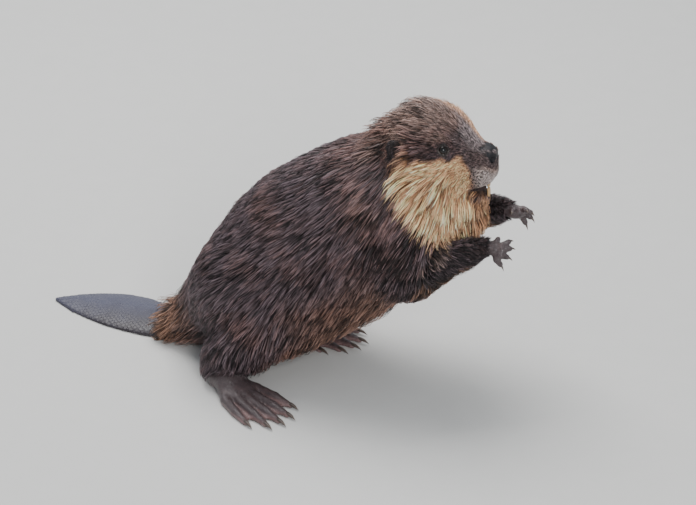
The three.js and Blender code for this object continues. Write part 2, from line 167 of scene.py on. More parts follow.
def link(p, a, b):
    """A round link between two stations of x, y, z, half height and half width."""
    a, b = np.array(a, float), np.array(b, float)
    run = b[:3] - a[:3]
    d = p - a[:3]
    t = np.clip(d @ run / (run @ run), 0, 1)
    r = a[3] + (b[3] - a[3]) * t
    w = a[4] + (b[4] - a[4]) * t
    d = d - t[:, None] * run
    return np.sqrt(d[:, 0] ** 2 + (d[:, 1] * r / w) ** 2 + d[:, 2] ** 2) - r


def chain(p, stations, reach=0.1):
    d = link(p, stations[0], stations[1])
    for a, b in zip(stations[1:-1], stations[2:]):
        d = soft_join(d, link(p, a, b), reach)
    return d


def catmull(points, t):
    """A place on the centripetal curve through the points, t from 0 to 1."""
    k = min(int((len(points) - 1) * t), len(points) - 2)
    w = (len(points) - 1) * t - k
    p1, p2 = points[k], points[k + 1]
    p0 = points[k - 1] if k > 0 else 2 * points[0] - points[1]
    p3 = points[k + 2] if k + 2 < len(points) else 2 * points[-1] - points[-2]
    d0, d1, d2 = (np.sqrt(np.linalg.norm(b - a)) for a, b in ((p0, p1), (p1, p2), (p2, p3)))
    m1 = ((p1 - p0) / d0 - (p2 - p0) / (d0 + d1) + (p2 - p1) / d1) * d1
    m2 = ((p2 - p1) / d1 - (p3 - p1) / (d1 + d2) + (p3 - p2) / d2) * d1
    c2, c3 = -3 * p1 + 3 * p2 - 2 * m1 - m2, 2 * p1 - 2 * p2 + m1 + m2
    return p1 + m1 * w + c2 * w * w + c3 * w**3


def spine_stations():
    rows = []
    for i in range(SPINE_STEPS + 1):
        x, z = catmull(SPINE[:, :2], i / SPINE_STEPS)
        h, w = catmull(SPINE[:, 2:], i / SPINE_STEPS)
        rows.append([x, 0, z, h, w])
    return np.array(rows)


BACKBONE = spine_stations()


def body(p):
    """The outline of the whole coat, as the solids have it."""
    q = p * [1, 0, 1] + np.abs(p) * [0, 1, 0]
    trunk = chain(p, BACKBONE)
    trunk = soft_join(trunk, ellipsoid(q, *HAUNCH), 40)
    trunk = soft_join(trunk, chain(q, HIND_LEG, 16), 18)
    trunk = soft_join(trunk, ellipsoid(q, *SHOULDER), 36)
    head = ellipsoid(p, *SKULL)
    head = soft_join(head, chain(p, FACE), 14)
    head = soft_join(head, ellipsoid(p, *MUZZLE), 12)
    head = soft_join(head, ellipsoid(q, *LIP), 8)
    head = soft_join(head, chain(p, JAW), 14)
    head = soft_join(head, chain(p, BIB), 14)
    head = soft_join(head, ellipsoid(q, *RUFF), 26)
    return soft_join(trunk, head, 22)


def foreleg_stations(side):
    lift = WRIST_LIFT[side]
    rows = np.array(FORE_LEG, float)
    rows[:, 2] += lift * np.arange(len(rows)) / (len(rows) - 1)
    rows[:, 1] *= side
    return rows


def arm_distance(p, sides=SIDES):
    """How far a place lies from the forearms."""
    arms = [foreleg_stations(side)[1:] for side in sides]
    return np.min([link(p, a, b) for arm in arms for a, b in zip(arm[:-1], arm[1:])], axis=0)


def ear_distance(p):
    q = np.stack([p[:, 0], np.abs(p[:, 1]), p[:, 2]], 1) - EAR["at"]
    return np.linalg.norm(q / [1, 1, 1.3], axis=1)


def either(field, p):
    """The distance to the nearer of a part's two sides."""
    return np.minimum(field(p, 1), field(p, -1))


def coat_length(p):
    """How long the hair is at a place on or near the skin, later lines over earlier ones."""
    x, y, z = p[:, 0], np.abs(p[:, 1]), p[:, 2]
    long = np.full(len(p), 32.0)

    def toward(value, share):
        return long + (value - long) * share

    head = step(z, 296, 322) * step(x, 262, 290)
    long = toward(22, step(z, 350, 380) * step(x, 225, 250))
    long = toward(15, head * step(z, 322, 345) * step(x, 280, 304))
    long = toward(11, head * step(z, 340, 372) * step(x, 292, 318))
    long = toward(6.5, step(x, 322, 340) * step(z, 296, 312))
    long = toward(3.6, step(x, 340, 356) * step(z, 292, 306))
    eye = np.linalg.norm(np.stack([x, y, z], 1) - np.array(EYE, float), axis=1)
    long = toward(4.5, 1 - step(eye, 9, 20))
    long = toward(9, step(x, 344, 360) * step(z, 268, 280) * (1 - step(z, 292, 300)))
    arm = (1 - step(arm_distance(p), 0, 14)) * step(x, 306, 330)
    long = toward(14, arm)
    long = toward(7, arm * step(x, 352, 380))
    shank = (1 - step(z, 40, 84)) * step(y, 58, 76) * step(x, -30, -6)
    long = toward(19, shank)
    long = toward(10, shank * (1 - step(z, 14, 36)))
    root = 1 - step(x, -88, -66)
    long = toward(26, root)
    long = toward(7, 1 - step(ear_distance(p), 15, 30))
    return long


def coat_depth(p):
    return np.clip(0.35 * coat_length(p), 1.0, 10.5)


def near(p, low, high):
    return np.all((p > low) & (p < high), axis=1)


def to_foot(p, side):
    """A place as seen from a hind foot: how far ahead of the heel, outwards, and up."""
    heel, heading = HIND_FEET[side]
    c, s = math.cos(math.radians(heading)), math.sin(math.radians(heading))
    dx, dy = p[:, 0] - heel[0], side * p[:, 1] - heel[1]
    return np.stack([c * dx + s * dy, c * dy - s * dx, p[:, 2]], 1)


def from_foot(q, side):
    heel, heading = HIND_FEET[side]
    c, s = math.cos(math.radians(heading)), math.sin(math.radians(heading))
    q = np.atleast_2d(np.asarray(q, float))
    x = heel[0] + c * q[:, 0] - s * q[:, 1]
    y = side * (heel[1] + s * q[:, 0] + c * q[:, 1])
    return np.stack([x, y, q[:, 2]], 1)


def hind_foot(p, side):
    """A webbed foot: a raised instep, five knuckled toes and the thin skin between them."""
    q = to_foot(p, side)
    foot = chain(q, INSTEP, 8)
    for v, reach in zip(TOES, TOE_REACH):
        tip = FOOT_LONG * reach
        y = [v * out for out in TOE_OUT]
        toe = chain(q, [[52, y[0], 9, 8.5, 8.5], [tip - 66, y[1], 6.6, 6.8, 6.4],
                        [tip - 34, y[2], 5.6, 6.2, 6.2], [tip - 4, y[3], 3.4, 4.0, 4.2]], 2)
        foot = soft_join(foot, toe, 5)
    width = np.interp(q[:, 0] / FOOT_LONG, *FOOT_WIDTH)
    v = q[:, 1] / width
    reach = np.interp(v, TOES, TOE_REACH)
    gap = np.abs(np.sin(np.pi * np.interp(v, TOES, np.arange(5.0))))
    edge = q[:, 0] - FOOT_LONG * (reach - WEB["notch"] * gap**2) + WEB["short"]
    sheet = np.abs(q[:, 2] - WEB["height"] - WEB["sag"] * (1 - gap)) - WEB["half"]
    web = np.maximum.reduce([sheet, edge, (np.abs(v) - TOES[-1]) * 40, WEB["from"] - q[:, 0]])
    return soft_cut(soft_join(foot, web, 3), SKIN_CLEAR - q[:, 2], 1.5)


def fingers_of(side):
    """Each finger's knuckle, joint, tip and claw point."""
    wrist = np.array(WRIST, float) + [0, 0, WRIST_LIFT[side]]
    palm = wrist + PALM[0]
    rows = []
    for reach in FINGERS:
        tip = wrist + reach
        run = tip - palm
        joint = palm + 0.6 * run + [0, FINGER["bow"], 0]
        knuckle = palm + 0.2 * run
        heading = (tip - joint) / np.linalg.norm(tip - joint)
        point = tip + heading * FINGER["claw"] - [0, 0, 4]
        rows.append(np.array([knuckle, joint, tip, point]) * [1, side, 1])
    return palm * [1, side, 1], rows


def forepaw(p, side):
    palm, rows = fingers_of(side)
    paw = ellipsoid(p, palm, np.array(PALM[1]) - BARE_DEPTH)
    r, t = FINGER["r"], FINGER["tip"]
    for knuckle, joint, tip, _ in rows:
        finger = chain(p, [[*knuckle, r, r], [*joint, r, r], [*tip, t, t]], 1)
        paw = soft_join(paw, finger, 3.5)
    return paw


def ear_field(p, side):
    yaw, lean = math.radians(-EAR["yaw"]), math.radians(EAR["lean"])
    about_z = np.array([[math.cos(yaw), -math.sin(yaw), 0], [math.sin(yaw), math.cos(yaw), 0],
                        [0, 0, 1]])
    about_y = np.array([[math.cos(lean), 0, math.sin(lean)], [0, 1, 0],
                        [-math.sin(lean), 0, math.cos(lean)]])
    q = (p * [1, side, 1] - EAR["at"]) @ (about_z @ about_y)
    radii = np.array(EAR["radii"]) - 0.4
    outer = ellipsoid(q, (0, 0, 0), radii)
    inner = ellipsoid(q, (0, EAR["radii"][1], 0), radii * EAR["cup"])
    return soft_cut(outer, -inner, 1.5)


def tail_field(p):
    x, z = p[:, 0], p[:, 2]
    middle = np.interp(x, TAIL[:, 0], TAIL[:, 1])
    half = np.interp(x, TAIL[:, 0], TAIL[:, 2]) - BARE_DEPTH
    thick = np.interp(x, TAIL[:, 0], TAIL[:, 3]) - BARE_DEPTH
    v = np.clip((p[:, 1] - middle) / np.maximum(half, 1), -1, 1)
    top = z - thick * (1 - TAIL_CROWN * v * v)
    rim = (np.abs(p[:, 1] - middle) - half) * 0.85
    ends = np.maximum(TAIL[0, 0] + 1 - x, x + 60)
    return soft_cut(np.maximum(soft_cut(top, rim, 5), ends), SKIN_CLEAR - z, 2)


def mouth_room(p):
    """The wedge between the lips, negative inside."""
    dx, dz = p[:, 0] - MOUTH["corner"][0], p[:, 2] - MOUTH["corner"][1]
    return np.maximum(dz - MOUTH["rise"] * dx, -dz - MOUTH["drop"] * dx) * 0.95


def flesh(p, fine=False):
    """The skin's own field. The fine one adds the lids, the nostrils and the folds."""
    d = body(p) + coat_depth(p)

    def joined(low, high, field, reach):
        m = near(p, low, high)
        if m.any():
            d[m] = soft_join(d[m], field(p[m]), reach)

    for side in SIDES:
        ys = (20, 150) if side > 0 else (-150, -20)
        arm = foreleg_stations(side)
        joined((225, ys[0] - 20, 160), (410, ys[1], 280),
               lambda q: chain(q, arm, 8) + coat_depth(q), 9)
        joined((345, ys[0] - 20, 190), (435, ys[1], 290), lambda q: forepaw(q, side), 5)
        joined((-25, -260, -10), (210, 260, 62), lambda q: hind_foot(q, side), 7)
        joined((230, ys[0], 330), (285, ys[1], 400), lambda q: ear_field(q, side), 3)
    joined((-300, -60, -10), (-40, 120, 50), tail_field, 14)
    m = near(p, (330, -50, 260), (420, 50, 350))
    d[m] = soft_cut(d[m], -mouth_room(p[m]), 3.5)
    joined((335, -20, 285), (385, 20, 320), lambda q: ellipsoid(q, *TONGUE), 2)
    joined((340, -30, 325), (400, 30, 375), lambda q: ellipsoid(q, *NOSE), 3)
    if fine:
        d = face_folds(p, d)
    return soft_cut(d, SKIN_CLEAR - p[:, 2], 1.5)


def eye_frame(side):
    """Outward, sideways and upward directions of an eye."""
    out = EYE_OUT * [1, side, 1]
    across = np.cross(out, [0, 0, 1.0])
    across /= np.linalg.norm(across)
    return out, across, np.cross(across, out)


def face_folds(p, d):
    """The field d with the lids, the nostrils and the groove below the nose."""
    for side in SIDES:
        at = mirrored(EYE, side)
        m = near(p, at - 26, at + 26)
        if not m.any():
            continue
        q = p[m] - at
        out, across, up = eye_frame(side)
        r = np.linalg.norm(q, axis=1)
        lid = soft_join(d[m], r - EYE_R - 1.5, 6)
        a, u, o = q @ across, q @ up, q @ out
        opening = np.sqrt((a / 5.9) ** 2 + ((u + 0.2) / 4.5) ** 2) - 1
        hole = np.maximum(opening * 4.5, 1.5 - o)
        lid = soft_cut(lid, -hole, 1.2)
        lid = np.minimum(lid, r - EYE_R + 0.5)
        rim = np.abs(opening * 4.8 - 3.2)
        d[m] = lid + 0.45 * np.exp(-(rim / 1.2) ** 2) * (o > 0)
        at = mirrored(NOSTRIL, side)
        m = near(p, at - 12, at + 12)
        a, o, u = (p[m] - at).T
        pit = np.sqrt((a / 5.5) ** 2 + (o / 3.6) ** 2 + ((u + 0.25 * a) / 4.3) ** 2) - 1
        d[m] = soft_cut(d[m], -pit * 3.8, 1.6)
    m = near(p, (352, -8, 300), (400, 8, 350))
    groove = np.exp(-(p[m, 1] / 1.3) ** 2) * step(p[m, 0], 356, 366)
    d[m] += 1.4 * groove
    return d


def normals_of(field, p, h=0.35):
    """The field, its unit gradient and its slope."""
    d = field(p)
    g = np.stack([field(p + h * e) - field(p - h * e) for e in np.eye(3)], 1)
    size = np.maximum(np.linalg.norm(g, axis=1), 1e-9)
    return d, g / size[:, None], size / (2 * h)


# ---------- the skin's net ----------
GRID_RUNS = (  # along x, y and z: the start, then how far each run reaches and its spacing
    ((-300, 0), (-60, 3.6), (300, 4.2), (346, 2.4), (426, 1.9), (446, 6)),
    ((-240, 0), (-128, 4.2), (-62, 3.6), (62, 2.5), (128, 3.6), (172, 4.2)),
    ((-14, 0), (-2, 3), (24, 2.0), (190, 4.2), (262, 2.5), (300, 3.0), (410, 2.1), (434, 6)),
)
ROUGH = 13  # spacing of the coarse grid, and how near the surface the exact field is taken


def spaced(*runs):
    """Grid lines from runs of (end, spacing), the first giving only the start."""
    lines = [runs[0][0]]
    for end, gap in runs[1:]:
        count = max(1, round((end - lines[-1]) / gap))
        lines += list(np.linspace(lines[-1], end, count + 1)[1:])
    return np.array(lines, float)


class Grid:
    """A field sampled on straight grid lines."""

    def __init__(self, lines, values):
        self.lines, self.values = lines, values

    def sample(self, p):
        low, share = [], []
        for axis, lines in enumerate(self.lines):
            k = np.clip(np.searchsorted(lines, p[:, axis]) - 1, 0, len(lines) - 2)
            low.append(k)
            share.append(np.clip((p[:, axis] - lines[k]) / (lines[k + 1] - lines[k]), 0, 1))
        total = 0
        for corner in np.ndindex(2, 2, 2):
            weight = 1
            for axis in range(3):
                weight = weight * (share[axis] if corner[axis] else 1 - share[axis])
            total = total + weight * self.values[tuple(k + c for k, c in zip(low, corner))]
        return total

    def lie(self, p):
        """The distance and the outward direction at each place."""
        h = 2.5
        g = np.stack([self.sample(p + h * e) - self.sample(p - h * e) for e in np.eye(3)], 1)
        return self.sample(p), g / np.maximum(np.linalg.norm(g, axis=1), 1e-9)[:, None]


def skin_grid():
    """The coarse field, refined to the exact one where the surface is near."""
    fine = [spaced(*runs) for runs in GRID_RUNS]
    rough = [spaced((line[0], 0), (line[-1], ROUGH)) for line in fine]
    cells = np.stack(np.meshgrid(*rough, indexing="ij"), -1).reshape(-1, 3)
    coarse = Grid(rough, flesh(cells).reshape([len(line) for line in rough]))
    cells = np.stack(np.meshgrid(*fine, indexing="ij"), -1).reshape(-1, 3)
    values = np.concatenate([coarse.sample(part) for part in np.array_split(cells, 12)])
    band = np.abs(values) < ROUGH
    values[band] = flesh(cells[band])
    return Grid(fine, values.reshape([len(line) for line in fine]))


def surface_net(grid):
    """Vertices and quads of the surface, one vertex in each cell that it crosses."""
    f = grid.values
    inside = f < 0
    shape = tuple(n - 1 for n in f.shape)
    count = np.zeros(shape, int)
    for c in np.ndindex(2, 2, 2):
        count += inside[c[0]:shape[0] + c[0], c[1]:shape[1] + c[1], c[2]:shape[2] + c[2]]
    active = (count > 0) & (count < 8)
    index = np.full(shape, -1)
    index[active] = np.arange(active.sum())
    total = np.zeros((active.sum(), 3))
    hits = np.zeros(active.sum())
    quads = []
    for axis in range(3):
        a, b = (axis + 1) % 3, (axis + 2) % 3
        first, second = [slice(None)] * 3, [slice(None)] * 3
        first[axis], second[axis] = slice(0, -1), slice(1, None)
        f0, f1 = f[tuple(first)], f[tuple(second)]
        where = np.argwhere((f0 < 0) != (f1 < 0))
        keep = (where[:, a] > 0) & (where[:, b] > 0)
        keep &= (where[:, a] < shape[a]) & (where[:, b] < shape[b])
        where = where[keep]
        v0, v1 = f0[tuple(where.T)], f1[tuple(where.T)]
        t = v0 / (v0 - v1)
        place = np.stack([line[where[:, i]] for i, line in enumerate(grid.lines)], 1)
        lines = grid.lines[axis]
        place[:, axis] += t * (lines[where[:, axis] + 1] - lines[where[:, axis]])
        ring = []
        for da, db in ((-1, -1), (0, -1), (0, 0), (-1, 0)):
            cell = where.copy()
            cell[:, a] += da
            cell[:, b] += db
            ring.append(index[tuple(cell.T)])
            np.add.at(total, ring[-1], place)
            np.add.at(hits, ring[-1], 1)
        ring = np.stack(ring, 1)
        flip = v0 > 0
        ring[flip] = ring[flip][:, ::-1]
        quads.append(ring)
    return total / np.maximum(hits, 1)[:, None], np.concatenate(quads)


def settle(field, p, rounds):
    """Moves places onto a field's surface."""
    for _ in range(rounds):
        d, n, slope = normals_of(field, p)
        p = p - n * np.clip(d / np.maximum(slope, 0.4), -3, 3)[:, None]
    return p


def refined(vertices, quads, centres, radius):
    """The net with every face near one of the centres divided in four."""
    net = bmesh.new()
    corners = [net.verts.new(v) for v in vertices]
    for quad in quads:
        net.faces.new([corners[i] for i in quad])
    close = np.zeros(len(vertices), bool)
    for centre in centres:
        close |= np.linalg.norm(vertices - np.array(centre, float), axis=1) < radius
    net.verts.index_update()
    edges = [e for e in net.edges if close[e.verts[0].index] and close[e.verts[1].index]]
    bmesh.ops.subdivide_edges(net, edges=edges, cuts=1, use_grid_fill=True)
    net.verts.index_update()
    places = np.array([v.co[:] for v in net.verts])
    faces = [[v.index for v in f.verts] for f in net.faces]
    net.free()
    return places, faces


# ---------- meshes ----------
def linked(name, data):
    """An object with this data, put in the scene."""
    thing = bpy.data.objects.new(name, data)
    bpy.context.scene.collection.objects.link(thing)
    return thing


def mesh_object(name, vertices, faces):
    """A smooth piece from places in millimetres and its faces."""
    mesh = bpy.data.meshes.new(name)
    mesh.from_pydata(metres(vertices).tolist(), [], [list(map(int, f)) for f in faces])
    mesh.polygons.foreach_set("use_smooth", [True] * len(mesh.polygons))
    mesh.update()
    return linked(name, mesh)


def set_floats(mesh, name, values, kind="FLOAT"):
    """Keeps a value, vector or colour for each of a mesh's points."""
    layer = mesh.attributes.new(name, kind, "POINT")
    key = {"FLOAT": "value", "FLOAT_VECTOR": "vector", "FLOAT_COLOR": "color"}[kind]
    layer.data.foreach_set(key, np.asarray(values, np.float32).ravel())


def finish_piece(piece, material, nodes=()):
    """Gives a piece its material and its body, and hides the nodes that it stands for."""
    if material is not None:
        piece.data.materials.append(material)
    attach(piece, "root")
    if nodes:
        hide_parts(*nodes)


def tube(points, radii, sides, flat):
    """A closed tube along points, pointed at its end. Returns its vertices and faces."""
    points = np.asarray(points, float)
    run = np.gradient(points, axis=0)
    run /= np.linalg.norm(run, axis=1)[:, None]
    guide = np.array([0, 0, 1.0]) if abs(run[0, 2]) < 0.9 else np.array([1.0, 0, 0])
    across = np.cross(run, guide)
    across /= np.linalg.norm(across, axis=1)[:, None]
    up = np.cross(across, run)
    turn = np.linspace(0, 2 * np.pi, sides, endpoint=False)
    wide, high = np.cos(turn)[:, None], flat * np.sin(turn)[:, None]
    rings = [points[i] + radii[i] * (wide * across[i] + high * up[i])
             for i in range(len(points) - 1)]
    vertices = np.concatenate([*rings, points[-1:], points[:1]])
    tip, root = len(vertices) - 2, len(vertices) - 1
    faces = []
    for k in range(len(rings) - 1):
        for j in range(sides):
            a, b = k * sides + j, k * sides + (j + 1) % sides
            faces.append([b, a, a + sides, b + sides])
    last = (len(rings) - 1) * sides
    for j in range(sides):
        faces.append([last + (j + 1) % sides, last + j, tip])
        faces.append([j, (j + 1) % sides, root])
    return vertices, faces


def merged(parts):
    """Several meshes' vertices and faces as one."""
    vertices, faces, count = [], [], 0
    for v, f in parts:
        vertices.append(v)
        faces += [[i + count for i in face] for face in f]
        count += len(v)
    return np.concatenate(vertices), faces


# ---------- the lie of the coat ----------
def unit(v):
    return v / np.maximum(np.linalg.norm(v, axis=1), 1e-9)[:, None]


def hair_lie(p, n):
    """Which way the hair lies at places with outward directions n, along the skin."""
    x, y, z = p[:, 0], p[:, 1], p[:, 2]
    sideways = np.abs(n[:, 1])
    run = unit(np.gradient(BACKBONE[:, :3], axis=0))
    away = np.linalg.norm(p[:, None, :] * [1, 0, 1] - BACKBONE[None, :, :3], axis=2)
    share = np.exp(-(away - away.min(1)[:, None]) / 30.0)
    back = -unit(share @ run)
    spine_z = (share @ BACKBONE[:, 2]) / share.sum(1)
    low = step(spine_z - z, -50, 70)
    flow = back.copy()
    flow[:, 2] -= (0.10 + 0.95 * low) * (0.35 + 0.65 * sideways)
    flow[:, 1] += np.sign(y) * 0.12 * (n[:, 2] > 0) * (1 - sideways)

    def toward(heading, share):
        nonlocal flow
        heading = unit(np.broadcast_to(heading, flow.shape).astype(float))
        flow = flow + (heading - flow) * share[:, None]

    out = np.sign(y)[:, None] * [0, 1.0, 0]
    thigh = (1 - step(z, 60, 120)) * step(x, -20, 10) * (1 - step(x, 110, 140))
    toward((-0.30, 0, -1), thigh * step(np.abs(y), 40, 70))
    rump = 1 - step(x, -60, 0)
    toward(np.array([-0.75, 0, -0.62]) + 0.2 * out, rump * 0.8)
    ruff = step(x, 262, 290) * step(z, 210, 240)
    hang = np.array([-0.62, 0, -0.85]) + 0.10 * out
    hang[:, 0] += 0.25 * step(x, 285, 345)
    toward(hang, ruff * (1 - step(z, 348, 372)) * 0.95)
    cheek = step(z, 318, 345) * step(x, 262, 280)
    toward((-0.93, 0, -0.38), cheek * (1 - step(z, 362, 376)))
    crown = step(z, 356, 380) * step(x, 225, 250)
    toward((-1, 0, -0.12), crown)
    throat = step(x, 318, 345) * (1 - step(z, 282, 300)) * step(z, 225, 240)
    toward((-0.12, 0, -1), throat)
    muzzle = step(x, 330, 350) * step(z, 284, 300)
    toward(unit(p - FACE_FRONT), muzzle)
    for side in SIDES:
        arm = (1 - step(arm_distance(p, (side,)), 2, 18)) * step(x, 300, 325)
        toward(unit(p - foreleg_stations(side)[0, :3]) * 0.9 + [0, 0, -0.3], arm)
    flow = flow - n * np.sum(flow * n, axis=1)[:, None]
    return unit(flow)


def wander(p, scale, seed):
    """A smooth wave through space, about -1 to 1."""
    rng = np.random.default_rng(seed)
    total = np.zeros(len(p))
    for _ in range(5):
        wave = rng.normal(size=3)
        wave *= 2 * np.pi / (scale * np.linalg.norm(wave) * rng.uniform(0.7, 1.5))
        total += np.sin(p @ wave + rng.uniform(0, 7))
    return total / 2.6


def wobble(p, scale, seed):
    """A smooth wave for each of x, y and z, which frays a border."""
    return np.stack([wander(p, scale, seed + k) for k in range(3)], 1)


def between(x, z, line):
    """How far a place lies to the left of a line through two points of x and z."""
    (x0, z0), (x1, z1) = line
    return ((x1 - x0) * (z - z0) - (z1 - z0) * (x - x0)) / math.hypot(x1 - x0, z1 - z0)


def markings(p, n):
    """Shares of golden, rusty and grey hair, and of red in the dark hair. Part of them is painted
    light: a highlight on the crown, sheen on the bridge and rim light on the far brow.
    """
    q = p + 5 * wobble(p, 26, 3)
    x, y, z = q[:, 0], np.abs(q[:, 1]), q[:, 2]
    behind = between(x, z, ((328, 251), (257, 341)))
    below = np.minimum.reduce([-between(x, z, line) for line in (
        ((243, 336), (290, 358)), ((290, 358), (340, 355)), ((340, 355), (364, 310)))])
    gold = step(-behind, -5, 9) * step(below, -3, 6) * step(z, 238, 254)
    gold *= 1 - step(x, 346, 358) * step(z, 286, 294)
    arm = np.maximum(step(p[:, 0], 308, 326), step(p[:, 0], 292, 310) * (1 - step(z, 246, 262)))
    arm *= 1 - step(arm_distance(p) + 4 * wander(p, 30, 9), 2, 12)
    gold *= 1 - arm
    rust = (1 - step(x, -72, 4)) * (1 - step(z, 70, 124)) * 0.8
    belly = (1 - step(n[:, 2], -0.75, 0.05)) * step(x, 60, 110) * (1 - step(x, 250, 290))
    rust = np.maximum(rust, 0.55 * belly)
    chin = step(x, 326, 344) * step(z, 240, 262) * (1 - step(z, 284, 294))
    chin *= 1 - step(y, 22, 42)
    rust = np.maximum(rust, chin)
    gold *= 1 - 0.62 * chin
    tan = np.exp(-((x - 270) / 10) ** 2 - ((z - 356) / 14) ** 2) * step(y, 30, 45)
    rust = np.maximum(rust, 0.8 * tan)
    gold = np.maximum(gold, 0.35 * tan)
    # up-facing hair of the crown is tinted lighter, warmer and lilac-grey: painted highlight,
    # partly the crown's own reddish tips
    crown = step(n[:, 2], 0.45, 0.9) * step(x, 214, 246) * (1 - step(x, 318, 336))
    rust = np.maximum(rust, 0.16 * crown)
    gold = np.maximum(gold, 0.10 * crown)
    far_brow_rim_light = step(p[:, 1], -1, 11) * (1 - step(p[:, 1], 22, 34))  # on the left only: painted rim light on the far brow
    far_brow_rim_light = far_brow_rim_light * step(x, 290, 316) * step(z, 350, 368)
    far_brow_rim_light *= step(n[:, 2] + n[:, 0], 0.1, 0.6)
    rust = np.maximum(rust, 0.5 * far_brow_rim_light)
    gold = np.maximum(gold, 0.45 * far_brow_rim_light)
    lips = step(-between(x, z, ((364, 306), (342, 350))), -3, 5) * step(z, 286, 293)
    lips *= 1 - 0.85 * step(z + 0.25 * (x - 350), 330, 346)
    gold = np.maximum(gold, 0.5 * lips * (1 - step(z, 330, 344)))
    # the bridge of the nose is greyer: painted sheen of the sky on its sleek hair
    bridge_sheen = step(x, 316, 336) * step(z, 346, 362) * (1 - step(y, 12, 24))
    # the grey on the bridge and the crown is painted sky reflection; on the lips it is the muzzle's
    # own light hair
    grey = np.maximum.reduce([0.8 * lips, 0.34 * bridge_sheen, 0.18 * crown]) * (1 - far_brow_rim_light)
    red = 0.1 + 0.26 * wander(p, 70, 8) + 0.42 * step(z, 300, 350) * (1 - step(x, 270, 300))
    red = red + 0.3 * step(x, 170, 240) * step(n[:, 2], -0.2, 0.5)
    shank = 1 - step(z, 50, 90)
    red = red * (1 - 0.7 * shank) * (1 - 0.6 * arm)
    fringe = 0.8 * arm * (1 - step(n[:, 2], -0.5, 0.0)) * (1 - step(x, 350, 366))
    rust = np.maximum(rust, fringe)
    return np.clip(np.stack([gold, rust, grey, red], 1), 0, 1)


def bare_shares(p):
    """Shares of bare foot, tail, nose and mouth skin."""
    q = p + 1.5 * wobble(p, 9, 13)
    foot = (1 - step(either(hind_foot, q), 1.0, 3.5)) * (1 - step(q[:, 2], 30, 42))
    foot = np.maximum(foot, 1 - step(either(forepaw, q), 0.8, 3))
    tail = 1 - step(q[:, 0], -94, -84)
    nose = 1 - step(ellipsoid(q, *NOSE), 0.3, 1.6)
    room = mouth_room(p + [2.2, 0, 0])
    mouth = (1 - step(room, -0.8, 1.6)) * step(p[:, 0], 338, 346) * (1 - step(p[:, 0], 372, 382))
    return np.clip(np.stack([foot, tail, nose, mouth], 1), 0, 1)


# ---------- roots and tufts ----------
def scattered(count, rng, weight):
    """Places on the skin's triangles, with their normals and their place on its unwrap."""
    corners, uvs = made["corners"], made["corner_uvs"]
    sides = np.cross(corners[:, 1] - corners[:, 0], corners[:, 2] - corners[:, 0])
    area = np.linalg.norm(sides, axis=1) / 2
    share = np.cumsum(area * weight)
    spread = (np.arange(count) + rng.uniform(0, 1, count)) / count * share[-1]
    pick = np.searchsorted(share, spread)
    pick = np.minimum(pick, len(area) - 1)
    a, b = rng.uniform(0, 1, count), rng.uniform(0, 1, count)
    fold = a + b > 1
    a[fold], b[fold] = 1 - a[fold], 1 - b[fold]
    w = np.stack([1 - a - b, a, b], 1)[:, :, None]
    return (corners[pick] * w).sum(1), unit(sides[pick]), (uvs[pick] * w).sum(1)


def above_floor(p):
    """Places lifted clear of the floor."""
    return np.concatenate([p[:, :2], np.maximum(p[:, 2:], FLOOR_CLEAR)], 1)


def combed(roots, lengths, heights, rng, sway, arch):
    """The middle and tip of each tuft, laid along the skin.

    The arch is the middle's share of the tip's height.
    """
    grid = made["grid"]
    _, n = grid.lie(roots)
    heading = hair_lie(roots, n)
    turn = sway * rng.normal(size=len(roots)) + 0.2 * wander(roots, 34, 41)
    heading = unit(heading + np.cross(n, heading) * turn[:, None])
    middle = roots + heading * (0.46 * lengths)[:, None]
    d, m = grid.lie(middle)
    middle += m * np.clip(arch * heights - d, -0.4 * lengths, 0.4 * lengths)[:, None]
    onward = unit(hair_lie(middle, m) * 0.6 + (heading - m * np.sum(heading * m, 1)[:, None]) * 0.4)
    tip = middle + onward * (0.54 * lengths)[:, None]
    d, m = grid.lie(tip)
    tip += m * np.clip(heights - d, -0.6 * lengths, 0.6 * lengths)[:, None]
    return n, above_floor(middle), above_floor(tip)


def raised(p, n, rng):
    """How far beyond the coat's depth hair stands, in depths: where the outline is ragged."""
    x, z, up = p[:, 0], p[:, 2], n[:, 2]
    chance = rng.uniform(0, 1, len(p))
    crown = step(up, 0.1, 0.6) * step(x, 205, 240) * (1 - step(x, 326, 346)) * step(z, 330, 350)
    crown *= step(ear_distance(p), 18, 34)
    belly = (1 - step(up, -0.7, -0.2)) * step(x, 40, 80) * (1 - step(x, 240, 265))
    rump = (1 - step(x, -60, -5)) * (1 - step(z, 80, 120))
    ruff = step(x, 262, 290) * (1 - step(z, 330, 350)) * step(z, 225, 245)
    bib = step(x, 330, 346) * step(z, 226, 240) * (1 - step(z, 274, 288))
    arm = step(x, 318, 335) * (1 - step(x, 372, 384)) * (1 - step(z, 236, 246))
    arm *= 1 - step(up, -0.4, 0.1)
    ragged = 2.2 * crown + 1.0 * belly + 1.7 * rump + 0.9 * arm
    return ragged * chance**2 + 0.5 * ruff * chance + bib * (0.7 + 0.5 * chance)


def lock_leads(count, weight, rng):
    """The leading hair of each lock, which the hairs round it are drawn to."""
    roots, face_n, _ = scattered(count, rng, weight)
    lengths = coat_length(roots) * rng.uniform(0.85, 1.2, count)
    shade = rng.uniform(-1, 1, count)
    lift = rng.uniform(0.6, 0.95, count) + 0.2 * shade + raised(roots, face_n, rng)
    heights = coat_depth(roots) * lift
    n, _, tip = combed(roots, lengths, heights, rng, 0.09, 0.66)
    tree = KDTree(count)
    for k, root in enumerate(roots):
        tree.insert(root, k)
    tree.balance()
    made["locks"] = {"tree": tree, "roots": roots, "n": n, "tip": tip,
                     "shade": shade, "red": rng.uniform(-1, 1, count)}


